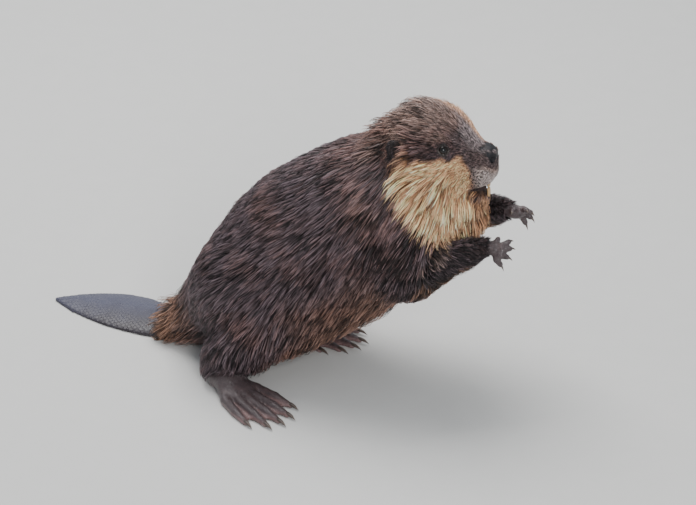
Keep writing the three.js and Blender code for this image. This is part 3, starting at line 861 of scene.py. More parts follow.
def clumped(roots, n, middle, tip, lengths, share):
    """Tufts drawn together towards the tip of the lock that each belongs to."""
    locks = made["locks"]
    owner = np.array([locks["tree"].find(r)[1] for r in roots])
    reach = np.linalg.norm(roots - locks["roots"][owner], axis=1)
    share = share * (1 - step(reach, 0.36 * lengths, 0.43 * lengths + 6))
    share = share * step(np.sum(n * locks["n"][owner], axis=1), 0.4, 0.8)
    shift = locks["tip"][owner] - tip
    tip = tip + shift * share[:, None]
    middle = middle + shift * (0.38 * share)[:, None]
    return middle, tip, owner


TUFT_MIDDLE = 0.46  # where along a tuft its middle lies
TUFT_RINGS = {  # rings: where along the tuft they lie, and their share of its width
    2: ([0, 0.5], [0.8, 0.85]),
    3: ([0, 0.36, 0.74], [0.72, 1.0, 0.66]),
}
PATCH = 0.003  # width of a tuft's patch on the unwrap


def tuft_mesh(name, roots, uvs, n, middle, tip, width, rings, shade, marks, random):
    """One piece of closed, three-sided, tapered tufts."""
    count = len(roots)
    start = roots - n * HAIR_ROOT
    s, wide = (np.array(values) for values in TUFT_RINGS[rings])
    m = TUFT_MIDDLE
    basis = np.stack([(s - m) * (s - 1) / m, s * (s - 1) / (m * (m - 1)), s * (s - m) / (1 - m)], 1)
    spots = np.einsum("rk,nkc->nrc", basis, np.stack([start, middle, tip], 1))
    ahead = np.concatenate([spots[:, 1:], tip[:, None]], 1) - spots
    ahead /= np.maximum(np.linalg.norm(ahead, axis=2), 1e-6)[:, :, None]
    right = np.cross(ahead, n[:, None, :])
    right /= np.maximum(np.linalg.norm(right, axis=2), 1e-6)[:, :, None]
    up = np.cross(right, ahead)
    half = (width[:, None] * wide[None, :] / 2)[:, :, None]
    ring = np.stack([spots - right * half - up * half * 0.25, spots + up * half * 0.8,
                     spots + right * half - up * half * 0.25], 2)
    places = np.concatenate([ring.reshape(count, -1, 3), tip[:, None]], 1)
    places[:, :, 2] = np.maximum(places[:, :, 2], FLOOR_CLEAR / 2)
    per = places.shape[1]
    quads = [[3 * k + j, 3 * k + (j + 1) % 3, 3 * k + 3 + (j + 1) % 3, 3 * k + 3 + j]
             for k in range(rings - 1) for j in range(3)]
    last = 3 * (rings - 1)
    tris = [[last + j, last + (j + 1) % 3, per - 1] for j in range(3)] + [[0, 2, 1]]
    loops = np.concatenate([np.array(quads).ravel(), np.array(tris).ravel()])
    starts = np.concatenate([np.arange(len(quads)) * 4, len(quads) * 4 + np.arange(len(tris)) * 3])
    base = np.arange(count)[:, None]
    mesh = bpy.data.meshes.new(name)
    mesh.vertices.add(count * per)
    mesh.vertices.foreach_set("co", metres(places.reshape(-1, 3)).astype(np.float32).ravel())
    mesh.loops.add(count * len(loops))
    mesh.loops.foreach_set("vertex_index", (loops[None] + base * per).astype(np.int32).ravel())
    mesh.polygons.add(count * len(starts))
    starts = starts[None] + base * len(loops)
    mesh.polygons.foreach_set("loop_start", starts.astype(np.int32).ravel())
    mesh.polygons.foreach_set("use_smooth", np.ones(starts.size, bool))
    mesh.update(calc_edges=True)
    along = np.concatenate([np.repeat(s, 3), [1.0]])
    across = np.concatenate([np.tile([0, 0.5, 1.0], rings), [0.5]])
    lock = np.empty((count, per, 4), np.float32)
    lock[:, :, 0], lock[:, :, 1] = along, shade[:, None]
    lock[:, :, 2], lock[:, :, 3] = across, random[:, None]
    set_floats(mesh, "lock", lock, "FLOAT_COLOR")
    set_floats(mesh, "marks", np.repeat(marks[:, None], per, 1), "FLOAT_COLOR")
    patch = np.stack([across[loops] - 0.5, along[loops] - 0.5], 1) * PATCH
    layer = mesh.uv_layers.new(name="OFBake")
    layer.data.foreach_set("uv", (uvs[:, None] + patch[None]).astype(np.float32).ravel())
    return linked(name, mesh)


def region_of(p, kind):
    """The name of the coat piece that each root belongs to."""
    x, y, z = p.T
    if kind == "short":
        return np.where(z > 260, "coat_short_face", "coat_short_body").astype(object)
    names = np.full(len(p), "coat_flank_left", dtype=object)
    names[y < 0] = "coat_flank_right"
    up = z - np.interp(x, BACKBONE[:, 0], BACKBONE[:, 2])
    names[(up > 34) & (x < 255)] = "coat_back"
    names[(x < 52) & (y >= 0)] = "coat_haunch_left"
    names[(x < 52) & (y < 0)] = "coat_haunch_right"
    names[(x > 238) & (y >= 0)] = "coat_ruff_left"
    names[(x > 238) & (y < 0)] = "coat_ruff_right"
    return names


# ---------- materials ----------
class Net:
    """Adds nodes to a tree. A socket given as a value is linked; anything else is set."""

    def __init__(self, tree):
        self.tree = tree

    def add(self, kind, values=None, **settings):
        node = self.tree.nodes.new(kind)
        for key, value in settings.items():
            setattr(node, key, value)
        for key, value in (values or {}).items():
            self.put(node.inputs[key], value)
        return node

    def put(self, socket, value):
        if isinstance(value, bpy.types.NodeSocket):
            self.tree.links.new(value, socket)
        else:
            socket.default_value = value

    def math(self, operation, a, b):
        return self.add("ShaderNodeMath", {0: a, 1: b}, operation=operation).outputs[0]

    def mix(self, share, a, b, blend="MIX"):
        values = {0: share, 6: a, 7: b}
        return self.add("ShaderNodeMix", values, data_type="RGBA", blend_type=blend).outputs[2]

    def ramp(self, value, low, high, out_low=0.0, out_high=1.0):
        values = {0: value, 1: low, 2: high, 3: out_low, 4: out_high}
        return self.add("ShaderNodeMapRange", values).outputs[0]

    def noise(self, vector, scale, detail=3.0, rough=0.55):
        values = {"Vector": vector, "Scale": scale, "Detail": detail, "Roughness": rough}
        return self.add("ShaderNodeTexNoise", values).outputs[0]

    def place(self):
        return self.add("ShaderNodeTexCoord").outputs["Object"]

    def attribute(self, name):
        return self.add("ShaderNodeAttribute", attribute_name=name)

    def parts(self, colour):
        return self.add("ShaderNodeSeparateColor", {0: colour}).outputs

    def axis(self, place, number):
        return self.add("ShaderNodeSeparateXYZ", {0: place}).outputs[number]

    def group(self, name, values):
        node = self.add("ShaderNodeGroup")
        node.node_tree = bpy.data.node_groups[name]
        for key, value in values.items():
            self.put(node.inputs[key], value)
        return node.outputs

    def bump(self, height, distance, strength=1.0, normal=None):
        values = {"Height": height, "Distance": distance, "Strength": strength}
        if normal is not None:
            values["Normal"] = normal
        return self.add("ShaderNodeBump", values).outputs[0]


def colour(values):
    return (*values, 1.0)


def finish_shader(net, shader, tint, rough, relief):
    """Links what changes over the surface to the shader."""
    net.put(shader.inputs["Base Color"], tint)
    net.put(shader.inputs["Roughness"], rough)
    if relief is not None:
        net.put(shader.inputs["Normal"], relief)


def new_group(name, inputs, outputs):
    """A shader node group with named sockets. Returns its net, input and output nodes."""
    group = bpy.data.node_groups.new(name, "ShaderNodeTree")
    for label, kind, default in inputs:
        socket = group.interface.new_socket(label, in_out="INPUT", socket_type=kind)
        if default is not None:
            socket.default_value = default
    for label, kind in outputs:
        group.interface.new_socket(label, in_out="OUTPUT", socket_type=kind)
    net = Net(group)
    return net, net.add("NodeGroupInput"), net.add("NodeGroupOutput")


HAIR_BRIGHTNESS = (0.16, 2.95)  # of the darkest and the lightest hair, times its colour


def hair_group(settings):
    """Hair colour from the markings, lighter along each hair."""
    net, given, out = new_group("hair_colour", [
        ("Marks", "NodeSocketColor", None), ("Red", "NodeSocketFloat", 0.4),
        ("Along", "NodeSocketFloat", 0.6), ("Shade", "NodeSocketFloat", 0.5),
    ], [("Color", "NodeSocketColor")])
    along, shade = given.outputs["Along"], given.outputs["Shade"]
    share = net.parts(given.outputs["Marks"])
    light = net.ramp(along, 0.05, 0.95)
    dark, red, gold, rust, grey = (
        net.mix(light, *(colour(getattr(settings, f"{kind}_{end}")) for end in ("root", "tip")))
        for kind in ("dark", "red", "gold", "rust", "grey"))
    tint = net.mix(given.outputs["Red"], dark, red)
    tint = net.mix(share[1], tint, rust)
    tint = net.mix(share[0], tint, gold)
    tint = net.mix(share[2], tint, grey)
    bright = net.ramp(shade, 0.0, 1.0, *HAIR_BRIGHTNESS)
    tone = net.add("ShaderNodeCombineColor", {0: bright, 1: bright, 2: bright}).outputs[0]
    toned = net.mix(1.0, tint, tone, "MULTIPLY")
    toned.node.clamp_result = True
    net.put(out.inputs[0], toned)


def leather_group():
    """Fine creased skin: a height for bump and a mask of its creases."""
    net, given, out = new_group("leather_creases", [
        ("Vector", "NodeSocketVector", None), ("Scale", "NodeSocketFloat", 400.0),
    ], [("Height", "NodeSocketFloat"), ("Creases", "NodeSocketFloat")])
    vector, scale = given.outputs["Vector"], given.outputs["Scale"]
    cells = net.add("ShaderNodeTexVoronoi", {"Vector": vector, "Scale": scale},
                    feature="DISTANCE_TO_EDGE").outputs["Distance"]
    crease = net.ramp(cells, 0.0, 0.16, 1.0, 0.0)
    grain = net.noise(vector, net.math("MULTIPLY", scale, 2.2))
    height = net.math("SUBTRACT", net.math("MULTIPLY", grain, 0.45), crease)
    net.put(out.inputs["Height"], height)
    net.put(out.inputs["Creases"], crease)


def new_material(name, **constants):
    """A material, its net and its Principled shader, with the constants set on its own sockets."""
    material = bpy.data.materials.new(name)
    material.use_nodes = True
    shader = material.node_tree.nodes["Principled BSDF"]
    for key, value in constants.items():
        shader.inputs[key.replace("_", " ").title().replace("Ior", "IOR")].default_value = value
    return material, Net(material.node_tree), shader


def coat_material(settings):
    """Damp hair, streaked along each tuft."""
    material, net, shader = new_material("coat_hair", specular_ior_level=0.5)
    lock = net.attribute("lock")
    marks = net.attribute("marks")
    parts = net.parts(lock.outputs["Color"])
    strand = net.add("ShaderNodeCombineXYZ", {
        0: net.math("MULTIPLY", parts[2], 5.0), 1: net.math("MULTIPLY", parts[0], 0.6),
        2: net.math("MULTIPLY", lock.outputs["Alpha"], 97.0)}).outputs[0]
    streak = net.noise(strand, 2.4, 2.0)
    shade = net.math("ADD", parts[1], net.ramp(streak, 0.3, 0.7, -0.25, 0.25))
    hair = net.group("hair_colour", {
        "Marks": marks.outputs["Color"], "Red": marks.outputs["Alpha"], "Along": parts[0],
        "Shade": shade})
    rough = net.ramp(streak, 0.3, 0.7, settings.damp_low, settings.damp_high)
    finish_shader(net, shader, hair[0], rough, net.bump(streak, 0.0006, 0.7))
    return material


TAIL_SHADE_SPAN = (0.024, 0.078)  # across the tail, in metres, from the painted shade of the right rim to full light
FOOT_FADE = (0.0050, 0.0085)  # heights in metres, from rosy web to dark foot


def tail_tint(net, place, mottle, settings):
    """Slate, with painted shade: darker and browner towards the right rim of the tail."""
    fade = net.ramp(net.axis(place, 1), *TAIL_SHADE_SPAN)
    light = net.math("ADD", fade, net.ramp(mottle, 0.3, 0.7, -0.18, 0.18))
    return net.mix(light, colour(settings.tail_painted_shade), colour(settings.tail_light))


def skin_material(settings):
    """Short fur where hair stands on the skin, and leather, nose and mouth where it is bare."""
    material, net, shader = new_material("skin", specular_ior_level=0.5)
    marks, bare, lie = net.attribute("marks"), net.attribute("bare"), net.attribute("lie")
    place = net.place()
    part = net.parts(bare.outputs["Color"])
    mouth = bare.outputs["Alpha"]
    fur = net.noise(lie.outputs["Vector"], 1.0, 4.0, 0.6)
    mottle = net.noise(place, 60.0)
    hair = net.group("hair_colour", {
        "Marks": marks.outputs["Color"], "Red": marks.outputs["Alpha"],
        "Along": net.ramp(fur, 0.3, 0.7, 0.0, 0.5), "Shade": net.ramp(mottle, 0.3, 0.7, 0.0, 0.2)})
    leather = net.group("leather_creases", {"Vector": place, "Scale": 420.0})
    rosy = net.ramp(net.axis(place, 2), *FOOT_FADE, 0.85, 0.0)
    rosy = net.math("ADD", rosy, net.ramp(mottle, 0.4, 0.7, -0.15, 0.2))
    foot = net.mix(rosy, colour(settings.foot_dark), colour(settings.foot_rosy))
    # the creases of the bare skin are darkened: painted shade in the creases
    creases = net.math("MULTIPLY", leather["Creases"], 0.45)
    foot = net.mix(creases, foot, (0.008, 0.006, 0.006, 1))
    tail = tail_tint(net, place, mottle, settings)
    nose = net.mix(mottle, colour(settings.nose), (0.03, 0.029, 0.033, 1))
    # the open mouth's lining is nearly black: painted shade inside the mouth, tinted as the mouth's
    # own skin
    painted_shade_lining = net.mix(mottle, (0.012, 0.006, 0.006, 1), (0.045, 0.019, 0.018, 1))
    tint = net.mix(part[0], hair[0], foot)
    tint = net.mix(part[1], tint, tail)
    tint = net.mix(mouth, tint, painted_shade_lining)
    tint = net.mix(part[2], tint, nose)
    tint = net.mix(net.attribute("lid").outputs["Fac"], tint, colour(settings.lid))
    naked = net.math("MAXIMUM", net.math("MAXIMUM", part[0], part[1]), part[2])
    rough = net.mix(naked, (0.62,) * 3 + (1,), (0.31,) * 3 + (1,))
    rough = net.math("ADD", net.parts(rough)[0], net.ramp(mottle, 0.3, 0.7, -0.06, 0.08))
    net.put(shader.inputs["Specular IOR Level"], net.ramp(part[2], 0.0, 1.0, 0.5, 0.22))
    relief = net.bump(leather["Height"], 0.0005, 0.5)
    height = net.math("MULTIPLY", fur, net.math("SUBTRACT", 1.0, naked))
    finish_shader(net, shader, tint, rough, net.bump(height, 0.0016, 0.8, relief))
    return material


def horn_material(name, dark, light, rough):
    """Horn, enamel or bristle, from its root's colour to its tip's."""
    material, net, shader = new_material(name, specular_ior_level=0.5)
    along = net.attribute("along").outputs["Fac"]
    streak = net.noise(net.place(), 900.0, 2.0)
    tint = net.mix(along, colour(dark), colour(light))
    tint = net.mix(net.ramp(streak, 0.35, 0.7, 0.0, 0.35), tint, (0.02, 0.012, 0.008, 1))
    finish_shader(net, shader, tint, net.ramp(streak, 0.3, 0.7, rough - 0.06, rough + 0.1),
                  net.bump(streak, 0.0002, 0.4))
    return material


def eye_material(settings):
    """A wet, nearly black eye with a darker pupil."""
    material, net, shader = new_material("eye_glass", coat_weight=0.7, coat_roughness=0.03,
                                         specular_ior_level=0.1)
    out = net.attribute("along").outputs["Fac"]
    fibre = net.noise(net.place(), 1500.0, 2.0)
    iris = net.mix(fibre, colour(settings.eye), (0.014, 0.008, 0.005, 1))
    pupil = net.ramp(out, 0.80, 0.84)
    tint = net.mix(pupil, iris, (0.002, 0.002, 0.002, 1))
    finish_shader(net, shader, tint, net.ramp(fibre, 0.3, 0.7, 0.10, 0.16), None)
    return material


def scale_material(settings):
    """The tail's scales, tinted as the skin below them, with the same painted shade towards the
    right rim.
    """
    material, net, shader = new_material("tail_scales", specular_ior_level=0.5)
    place = net.place()
    mottle, fine = net.noise(place, 45.0), net.noise(place, 700.0, 2.0)
    finish_shader(net, shader, tail_tint(net, place, mottle, settings),
                  net.ramp(fine, 0.3, 0.7, 0.34, 0.5), net.bump(fine, 0.0002, 0.5))
    return material


def floor_material(settings):
    """A plain, pale, matt floor."""
    material, net, shader = new_material("studio_floor", specular_ior_level=0.2)
    fine = net.noise(net.place(), 30.0, 4.0)
    tint = net.mix(fine, colour(settings.floor), colour([v * 1.06 for v in settings.floor]))
    finish_shader(net, shader, tint, net.ramp(fine, 0.3, 0.7, 0.7, 0.85), None)
    return material


# ---------- settings ----------
def tone(label, default, note):
    """A colour that the user can change."""
    return bpy.props.FloatVectorProperty(name=label, description=note, default=default, size=3,
                                         subtype="COLOR", min=0.0, max=1.0)


def size(label, default, low, high, note):
    """A length in metres that the user can change."""
    return bpy.props.FloatProperty(name=label, description=note, default=default, min=low, max=high,
                                   subtype="DISTANCE", unit="LENGTH")


def share(label, default, high, note):
    return bpy.props.FloatProperty(name=label, description=note, default=default, min=0.0, max=high,
                                   subtype="FACTOR")


def number(label, default, low, high, note):
    return bpy.props.IntProperty(name=label, description=note, default=default, min=low, max=high)


def turned(label, degrees, note):
    return bpy.props.FloatProperty(name=label, description=note, default=math.radians(degrees),
                                   subtype="ANGLE", unit="ROTATION")


class BeaverCoatSettings(bpy.types.PropertyGroup):
    """Sizes and colours of the hair."""

    under_tufts: number("Under tufts", 60000, 1000, 60000, "Dark tufts of the body, neck and ruff")
    # the guard tufts' lightness is partly painted highlight of wet locks
    guard_tufts: number("Guard tufts", 38000, 1000, 38000, "Thin, lighter tufts over the dark ones")
    short_tufts: number("Short tufts", 28000, 1000, 28000, "Tufts on the face, forelegs and shanks")
    locks: number("Locks", 14000, 500, 30000, "Locks that the tufts are drawn into")
    width: size("Tuft width", 0.0021, 0.001, 0.006, "Width of a full-length tuft")
    clump: share("Clumping", 0.74, 0.95, "How far tufts draw together at their tips")
    seed: number("Seed", 11, 0, 9999, "Fixed seed of the coat")
    damp_low: share("Gloss", 0.34, 1.0, "Roughness of the dampest hair")
    damp_high: share("Matt", 0.56, 1.0, "Roughness of the driest hair")
    dark_root: tone("Dark root", (0.008, 0.005, 0.005), "Foot of the dark hair")
    # the lilac of these tips is painted sky reflection on damp hair, over the dark hair's lighter
    # tips
    dark_tip: tone("Dark tip", (0.112, 0.082, 0.092), "Tip of the dark hair")
    red_root: tone("Red root", (0.018, 0.008, 0.006), "Foot of the reddish hair")
    red_tip: tone("Red tip", (0.180, 0.092, 0.074), "Tip of the reddish hair")
    gold_root: tone("Golden root", (0.560, 0.262, 0.122), "Foot of the ruff's hair")
    gold_tip: tone("Golden tip", (0.980, 0.580, 0.340), "Tip of the ruff's hair")
    rust_root: tone("Rusty root", (0.045, 0.018, 0.009), "Foot of the rump's hair")
    rust_tip: tone("Rusty tip", (0.310, 0.165, 0.100), "Tip of the rump's hair")
    # the grey is the muzzle's own hair colour; on the bridge and the crown it also paints sheen
    grey_root: tone("Grey root", (0.100, 0.088, 0.090), "Foot of the muzzle's hair")
    grey_tip: tone("Grey tip", (0.560, 0.510, 0.510), "Tip of the muzzle's hair")


class BeaverBareSettings(bpy.types.PropertyGroup):
    """Sizes and colours of what is bare."""

    scale_length: size("Scale length", 0.0052, 0.003, 0.010, "Length of a tail scale")
    scale_width: size("Scale width", 0.0062, 0.003, 0.010, "Width of a tail scale")
    whisker: size("Whisker length", 0.042, 0.01, 0.06, "Length of the longest whisker")
    foot_dark: tone("Foot", (0.078, 0.056, 0.058), "Bare skin of the feet and paws")
    foot_rosy: tone("Web", (0.250, 0.150, 0.144), "Thinner, rosier skin of the feet")
    # the first is painted shade, the colour of the tail's right rim; the second is the tail's skin
    # in full light
    tail_painted_shade: tone("Tail", (0.026, 0.019, 0.025), "Darker skin of the tail")
    tail_light: tone("Tail light", (0.070, 0.070, 0.108), "Lighter skin of the tail")
    nose: tone("Nose", (0.004, 0.004, 0.005), "Bare skin of the nose")
    lid: tone("Lid", (0.150, 0.130, 0.115), "Bare rim of the eyelids")
    eye: tone("Eye", (0.005, 0.003, 0.002), "Iris of the eyes")
    claw: tone("Claw", (0.035, 0.024, 0.020), "Horn of the claws")
    enamel: tone("Enamel", (0.520, 0.300, 0.130), "Front face of the incisors")


class BeaverStageSettings(bpy.types.PropertyGroup):
    """The floor, the light and the camera."""

    floor: tone("Floor", (0.62, 0.61, 0.59), "Colour of the floor")
    sky: bpy.props.FloatProperty(name="Sky", description="Strength of the even light",
                                 default=0.55, min=0.0)
    lamp: bpy.props.FloatProperty(name="Lamp", description="Power of the large soft lamp",
                                  default=95.0, min=0.0, unit="POWER")
    azimuth: turned("Azimuth", 20, "Turn of the camera round the animal")
    elevation: turned("Elevation", 27, "Height of the camera above the horizon")
    distance: size("Distance", 6.0, 1.0, 20.0, "From the camera to the animal")
    pixels_per_mm: bpy.props.FloatProperty(
        name="Scale", description="Width of a millimetre in the view, in pixels", default=0.74)


# ---------- operators ----------
FLESH_NODES = ["head", "lower_jaw", "neck", "trunk", "tail", "nose", "ear_right", "ear_left",
               "foreleg_right", "foreleg_left", "forepaw_right", "forepaw_left",
               "hind_leg_right", "hind_leg_left", "hind_foot_right", "hind_foot_left"]
PIECE_LIMIT = 195000  # triangles in one coat piece


def unwrapped(piece):
    """Unwraps the skin and keeps its triangles, in millimetres, with their places on the unwrap."""
    piece.data.uv_layers.new(name="OFBake")
    for other in bpy.context.selected_objects:
        other.select_set(False)
    bpy.context.view_layer.objects.active = piece
    piece.select_set(True)
    bpy.ops.object.mode_set(mode="EDIT")
    bpy.ops.mesh.select_all(action="SELECT")
    bpy.ops.uv.smart_project(angle_limit=math.radians(66), island_margin=0.001)
    bpy.ops.object.mode_set(mode="OBJECT")
    mesh = piece.data
    mesh.calc_loop_triangles()
    count = len(mesh.loop_triangles)
    corners = np.empty(count * 3, np.int32)
    loops = np.empty(count * 3, np.int32)
    mesh.loop_triangles.foreach_get("vertices", corners)
    mesh.loop_triangles.foreach_get("loops", loops)
    places = np.empty(len(mesh.vertices) * 3, np.float32)
    mesh.vertices.foreach_get("co", places)
    uvs = np.empty(len(mesh.loops) * 2, np.float32)
    mesh.uv_layers["OFBake"].data.foreach_get("uv", uvs)
    places = places.reshape(-1, 3).astype(float) * 1000 - SHIFT
    made["corners"] = places[corners].reshape(-1, 3, 3)
    made["corner_uvs"] = uvs.reshape(-1, 2)[loops].reshape(-1, 3, 2)


class BEAVER_OT_skin(bpy.types.Operator):
    """Draws the one skin of head, body, legs, feet, ears, nose and tail"""

    bl_idname = "beaver.skin"
    bl_label = "Skin"

    def execute(self, context):
        settings, bare = context.scene.beaver_coat, context.scene.beaver_bare
        hair_group(settings)
        leather_group()
        grid = made["grid"] = skin_grid()
        places, faces = surface_net(grid)
        if len(places) < 1000:
            raise RuntimeError("the skin's field gave no surface")
        places = settle(flesh, places, 2)
        eyes = [mirrored(EYE, side) for side in SIDES]
        holes = [mirrored(NOSTRIL, side) for side in SIDES]
        places, faces = refined(places, faces, eyes + holes, 19)
        places, faces = refined(places, faces, eyes + holes, 13)
        face = (places[:, 0] > 288) & (places[:, 2] > 290)
        places[~face] = settle(flesh, places[~face], 1)
        places[face] = settle(lambda p: flesh(p, True), places[face], 6)
        skin = mesh_object("skin", places, faces)
        mesh = skin.data
        n = normals_of(grid.sample, places, 3)[1]
        set_floats(mesh, "marks", markings(places, n), "FLOAT_COLOR")
        set_floats(mesh, "bare", bare_shares(places), "FLOAT_COLOR")
        lid = np.zeros(len(places))
        for eye, side in zip(eyes, SIDES):
            out = np.linalg.norm(places - eye, axis=1)
            low = (eye - places) @ eye_frame(side)[2]
            rim = step(out, EYE_R - 0.2, EYE_R + 0.4) * (1 - step(out, EYE_R + 1.2, EYE_R + 2.8))
            lid += rim * step(low, -2, 2)
        set_floats(mesh, "lid", lid)
        ray = places - FACE_FRONT
        far = np.linalg.norm(ray, axis=1)[:, None]
        set_floats(mesh, "lie", ray / far * 44 + ray / 14, "FLOAT_VECTOR")
        unwrapped(skin)
        finish_piece(skin, skin_material(bare), FLESH_NODES)
        return {"FINISHED"}


def shadowed(p):
    """Where the coat is darkest: the shoulder below the ruff, darker hair with painted shade of the
    ruff over it.
    """
    x, y, z = p[:, 0], np.abs(p[:, 1]), p[:, 2]
    return step(x, 225, 265) * step(z, 150, 185) * (1 - step(z, 262, 290)) * step(y, 30, 50)


LAYERS = {  # rings along a tuft; length and width as shares; span of height in depths and of shade
    "under": {"rings": 2, "length": 0.85, "width": 1.0, "lift": (0.35, 0.7), "shade": (0.0, 0.18),
              "lock": 0.14, "arch": 0.62},
    # the guard layer's wide span, with a few much lighter tufts, is partly painted highlight of wet
    # locks
    "guard": {"rings": 3, "length": 1.45, "width": 0.62, "lift": (0.72, 1.12),
              "shade": (0.06, 1.12),
              "lock": 0.46, "arch": 0.92},
    "short": {"rings": 2, "length": 1.0, "width": 0.72, "lift": (0.5, 1.15), "shade": (0.08, 0.82),
              "lock": 0.25, "arch": 0.66},
}


def coat_weights():
    """How thickly the skin's triangles grow long tufts, short tufts and locks."""
    corners = made["corners"]
    centre = corners.mean(1)
    n = unit(np.cross(corners[:, 1] - corners[:, 0], corners[:, 2] - corners[:, 0]))
    bare = bare_shares(centre).max(1)
    long = coat_length(centre)
    eye = np.min([np.linalg.norm(centre - mirrored(EYE, side), axis=1) for side in SIDES], axis=0)
    open_skin = (1 - step(bare, 0.25, 0.6)) * (eye > EYE_R + 1.9)
    open_skin = open_skin * (centre[:, 2] > 3) * (either(forepaw, centre) > 2.5)
    for side in SIDES:
        ahead = to_foot(centre, side)
        open_skin *= ~((ahead[:, 0] > 46) & (ahead[:, 2] < 40) & (np.abs(ahead[:, 1]) < 60))
    under = 1 - 0.55 * (1 - step(n[:, 2], -0.8, -0.4))
    ruff = 1 + 0.35 * step(centre[:, 0], 245, 270)
    heavy = step(long, 12, 17) * open_skin * under * ruff
    light = (1 - step(long, 15, 21)) * open_skin * (13 / np.maximum(long, 4)) ** 1.15 * under
    return heavy, light, open_skin * under * 22 / np.maximum(long, 4)


def grow_coat(kind, count, weight, settings, material, rng):
    """Grows one layer of tufts on the skin and joins them into pieces by region."""
    layer, locks = LAYERS[kind], made["locks"]
    roots, face_n, uvs = scattered(count, rng, weight)
    normal_length = coat_length(roots)
    on_ear = 1 - step(either(ear_field, roots), 0.4, 3)
    lengths = normal_length * layer["length"] * rng.uniform(0.8, 1.2, count)
    lengths = lengths + (EAR_HAIR["long"] - lengths) * on_ear
    depth = coat_depth(roots) * (1 - on_ear) + EAR_HAIR["deep"] * on_ear
    lift = rng.uniform(*layer["lift"], count) + raised(roots, face_n, rng) * (kind != "under")
    heights = depth * lift
    n, middle, tip = combed(roots, lengths, heights, rng, 0.10, layer["arch"])
    share = settings.clump * rng.uniform(0.55, 1.0, count) * (0.7 if kind == "short" else 1.0)
    middle, tip, owner = clumped(roots, n, middle, tip, lengths, share)
    width = settings.width * 1000 * layer["width"]
    width = width * (0.4 + 0.6 * np.clip(normal_length / 28, 0, 1.1))
    width = width * rng.uniform(0.7, 1.3, count)
    marks = markings(roots, n) * (1 - on_ear)[:, None]
    red = marks[:, 3] + 0.16 * locks["red"][owner] + rng.uniform(-0.16, 0.16, count)
    marks[:, 3] = np.clip(red, 0, 1)
    low, high = layer["shade"]
    shade = low + (high - low) * rng.uniform(0, 1, count) ** 1.9
    shade = shade + layer["lock"] * locks["shade"][owner]
    # the shoulder below the ruff is darkened: painted shade of the ruff, partly over darker hair
    shade = shade + 0.07 * wander(roots, 60, 21) - 0.28 * shadowed(roots)
    # up-facing hair of the crown is lighter: painted top light
    shade = shade + 0.14 * step(n[:, 2], 0.3, 0.9) * step(roots[:, 2], 348, 372)
    shade = shade + (0.44 - shade) * 0.42 * marks[:, 0] - 0.3 * on_ear
    random = rng.uniform(0, 1, count)
    names = region_of(roots, kind)
    most = PIECE_LIMIT // (6 * layer["rings"] - 2)  # by the triangles in a tuft
    for name in sorted(set(names)):
        which = np.flatnonzero(names == name)
        which = which[np.argsort(roots[which, 0], kind="stable")]
        parts = np.array_split(which, math.ceil(len(which) / most))
        for k, part in enumerate(parts):
            label = name if kind == "short" else f"{name}_{kind}"
            label += f"_{k + 1}" if len(parts) > 1 else ""
            piece = tuft_mesh(label, roots[part], uvs[part], n[part], middle[part], tip[part],
                              width[part], layer["rings"], shade[part], marks[part], random[part])
            finish_piece(piece, material)


class BEAVER_OT_coat(bpy.types.Operator):
    """Grows the tufts of the coat over the skin"""

    bl_idname = "beaver.coat"
    bl_label = "Coat"

    def execute(self, context):
        if "corners" not in made:
            raise RuntimeError("the skin comes before the coat")
        settings = context.scene.beaver_coat
        rng = np.random.default_rng(settings.seed)
        material = coat_material(settings)
        heavy, light, lock = coat_weights()
        lock_leads(settings.locks, lock, rng)
        grow_coat("under", settings.under_tufts, heavy, settings, material, rng)
        grow_coat("guard", settings.guard_tufts, heavy, settings, material, rng)
        grow_coat("short", settings.short_tufts, light, settings, material, rng)
        return {"FINISHED"}


class BEAVER_OT_eyes(bpy.types.Operator):
    """Turns the two eyeballs, each with a raised front"""

    bl_idname = "beaver.eyes"
    bl_label = "Eyes"

    def execute(self, context):
        material = eye_material(context.scene.beaver_bare)
        for name, side in (("right", -1), ("left", 1)):
            out, across, up = eye_frame(side)
            around = EYE_AROUND
            angles = np.linspace(0, np.pi, EYE_ROWS + 1)[1:-1]
            turn = np.linspace(0, 2 * np.pi, around, endpoint=False)
            spokes = np.cos(turn)[:, None] * across + np.sin(turn)[:, None] * up
            vertices, along = [], []
            for angle in angles:
                r = EYE_R * (1 + CORNEA * math.exp(-((angle / 0.5) ** 2)))
                vertices.append((math.cos(angle) * out + math.sin(angle) * spokes) * r)
                along += [math.cos(angle)] * around
            vertices = np.concatenate([*vertices, [out * EYE_R * (1 + CORNEA), -out * EYE_R]])
            along += [1.0, -1.0]
            front, back = len(vertices) - 2, len(vertices) - 1
            faces = []
            for k in range(len(angles) - 1):
                for j in range(around):
                    a, b = k * around + j, k * around + (j + 1) % around
                    faces.append([a, a + around, b + around, b])
            last = (len(angles) - 1) * around
            for j in range(around):
                faces.append([front, j, (j + 1) % around])
                faces.append([back, last + (j + 1) % around, last + j])
            piece = mesh_object(f"eyeball_{name}", vertices + mirrored(EYE, side), faces)
            set_floats(piece.data, "along", along)
            outward(piece)
            finish_piece(piece, material, [f"eye_{name}"])
        return {"FINISHED"}


def outward(piece):
    """Turns a closed piece's faces outwards."""
    net = bmesh.new()
    net.from_mesh(piece.data)
    bmesh.ops.recalc_face_normals(net, faces=net.faces)
    net.to_mesh(piece.data)
    net.free()


class Horns:
    """Tapered tubes gathered for one piece, each with how far along it every place lies."""

    def __init__(self):
        self.parts, self.along = [], []

    def add(self, path, radii, sides, flat, along, root=0.0, tip=1.0):
        self.parts.append(tube(path, radii, sides, flat))
        self.along.extend(np.concatenate([np.repeat(along[:-1], sides), [tip, root]]))

    def finish(self, name, material):
        piece = mesh_object(name, *merged(self.parts))
        set_floats(piece.data, "along", self.along)
        outward(piece)
        finish_piece(piece, material)


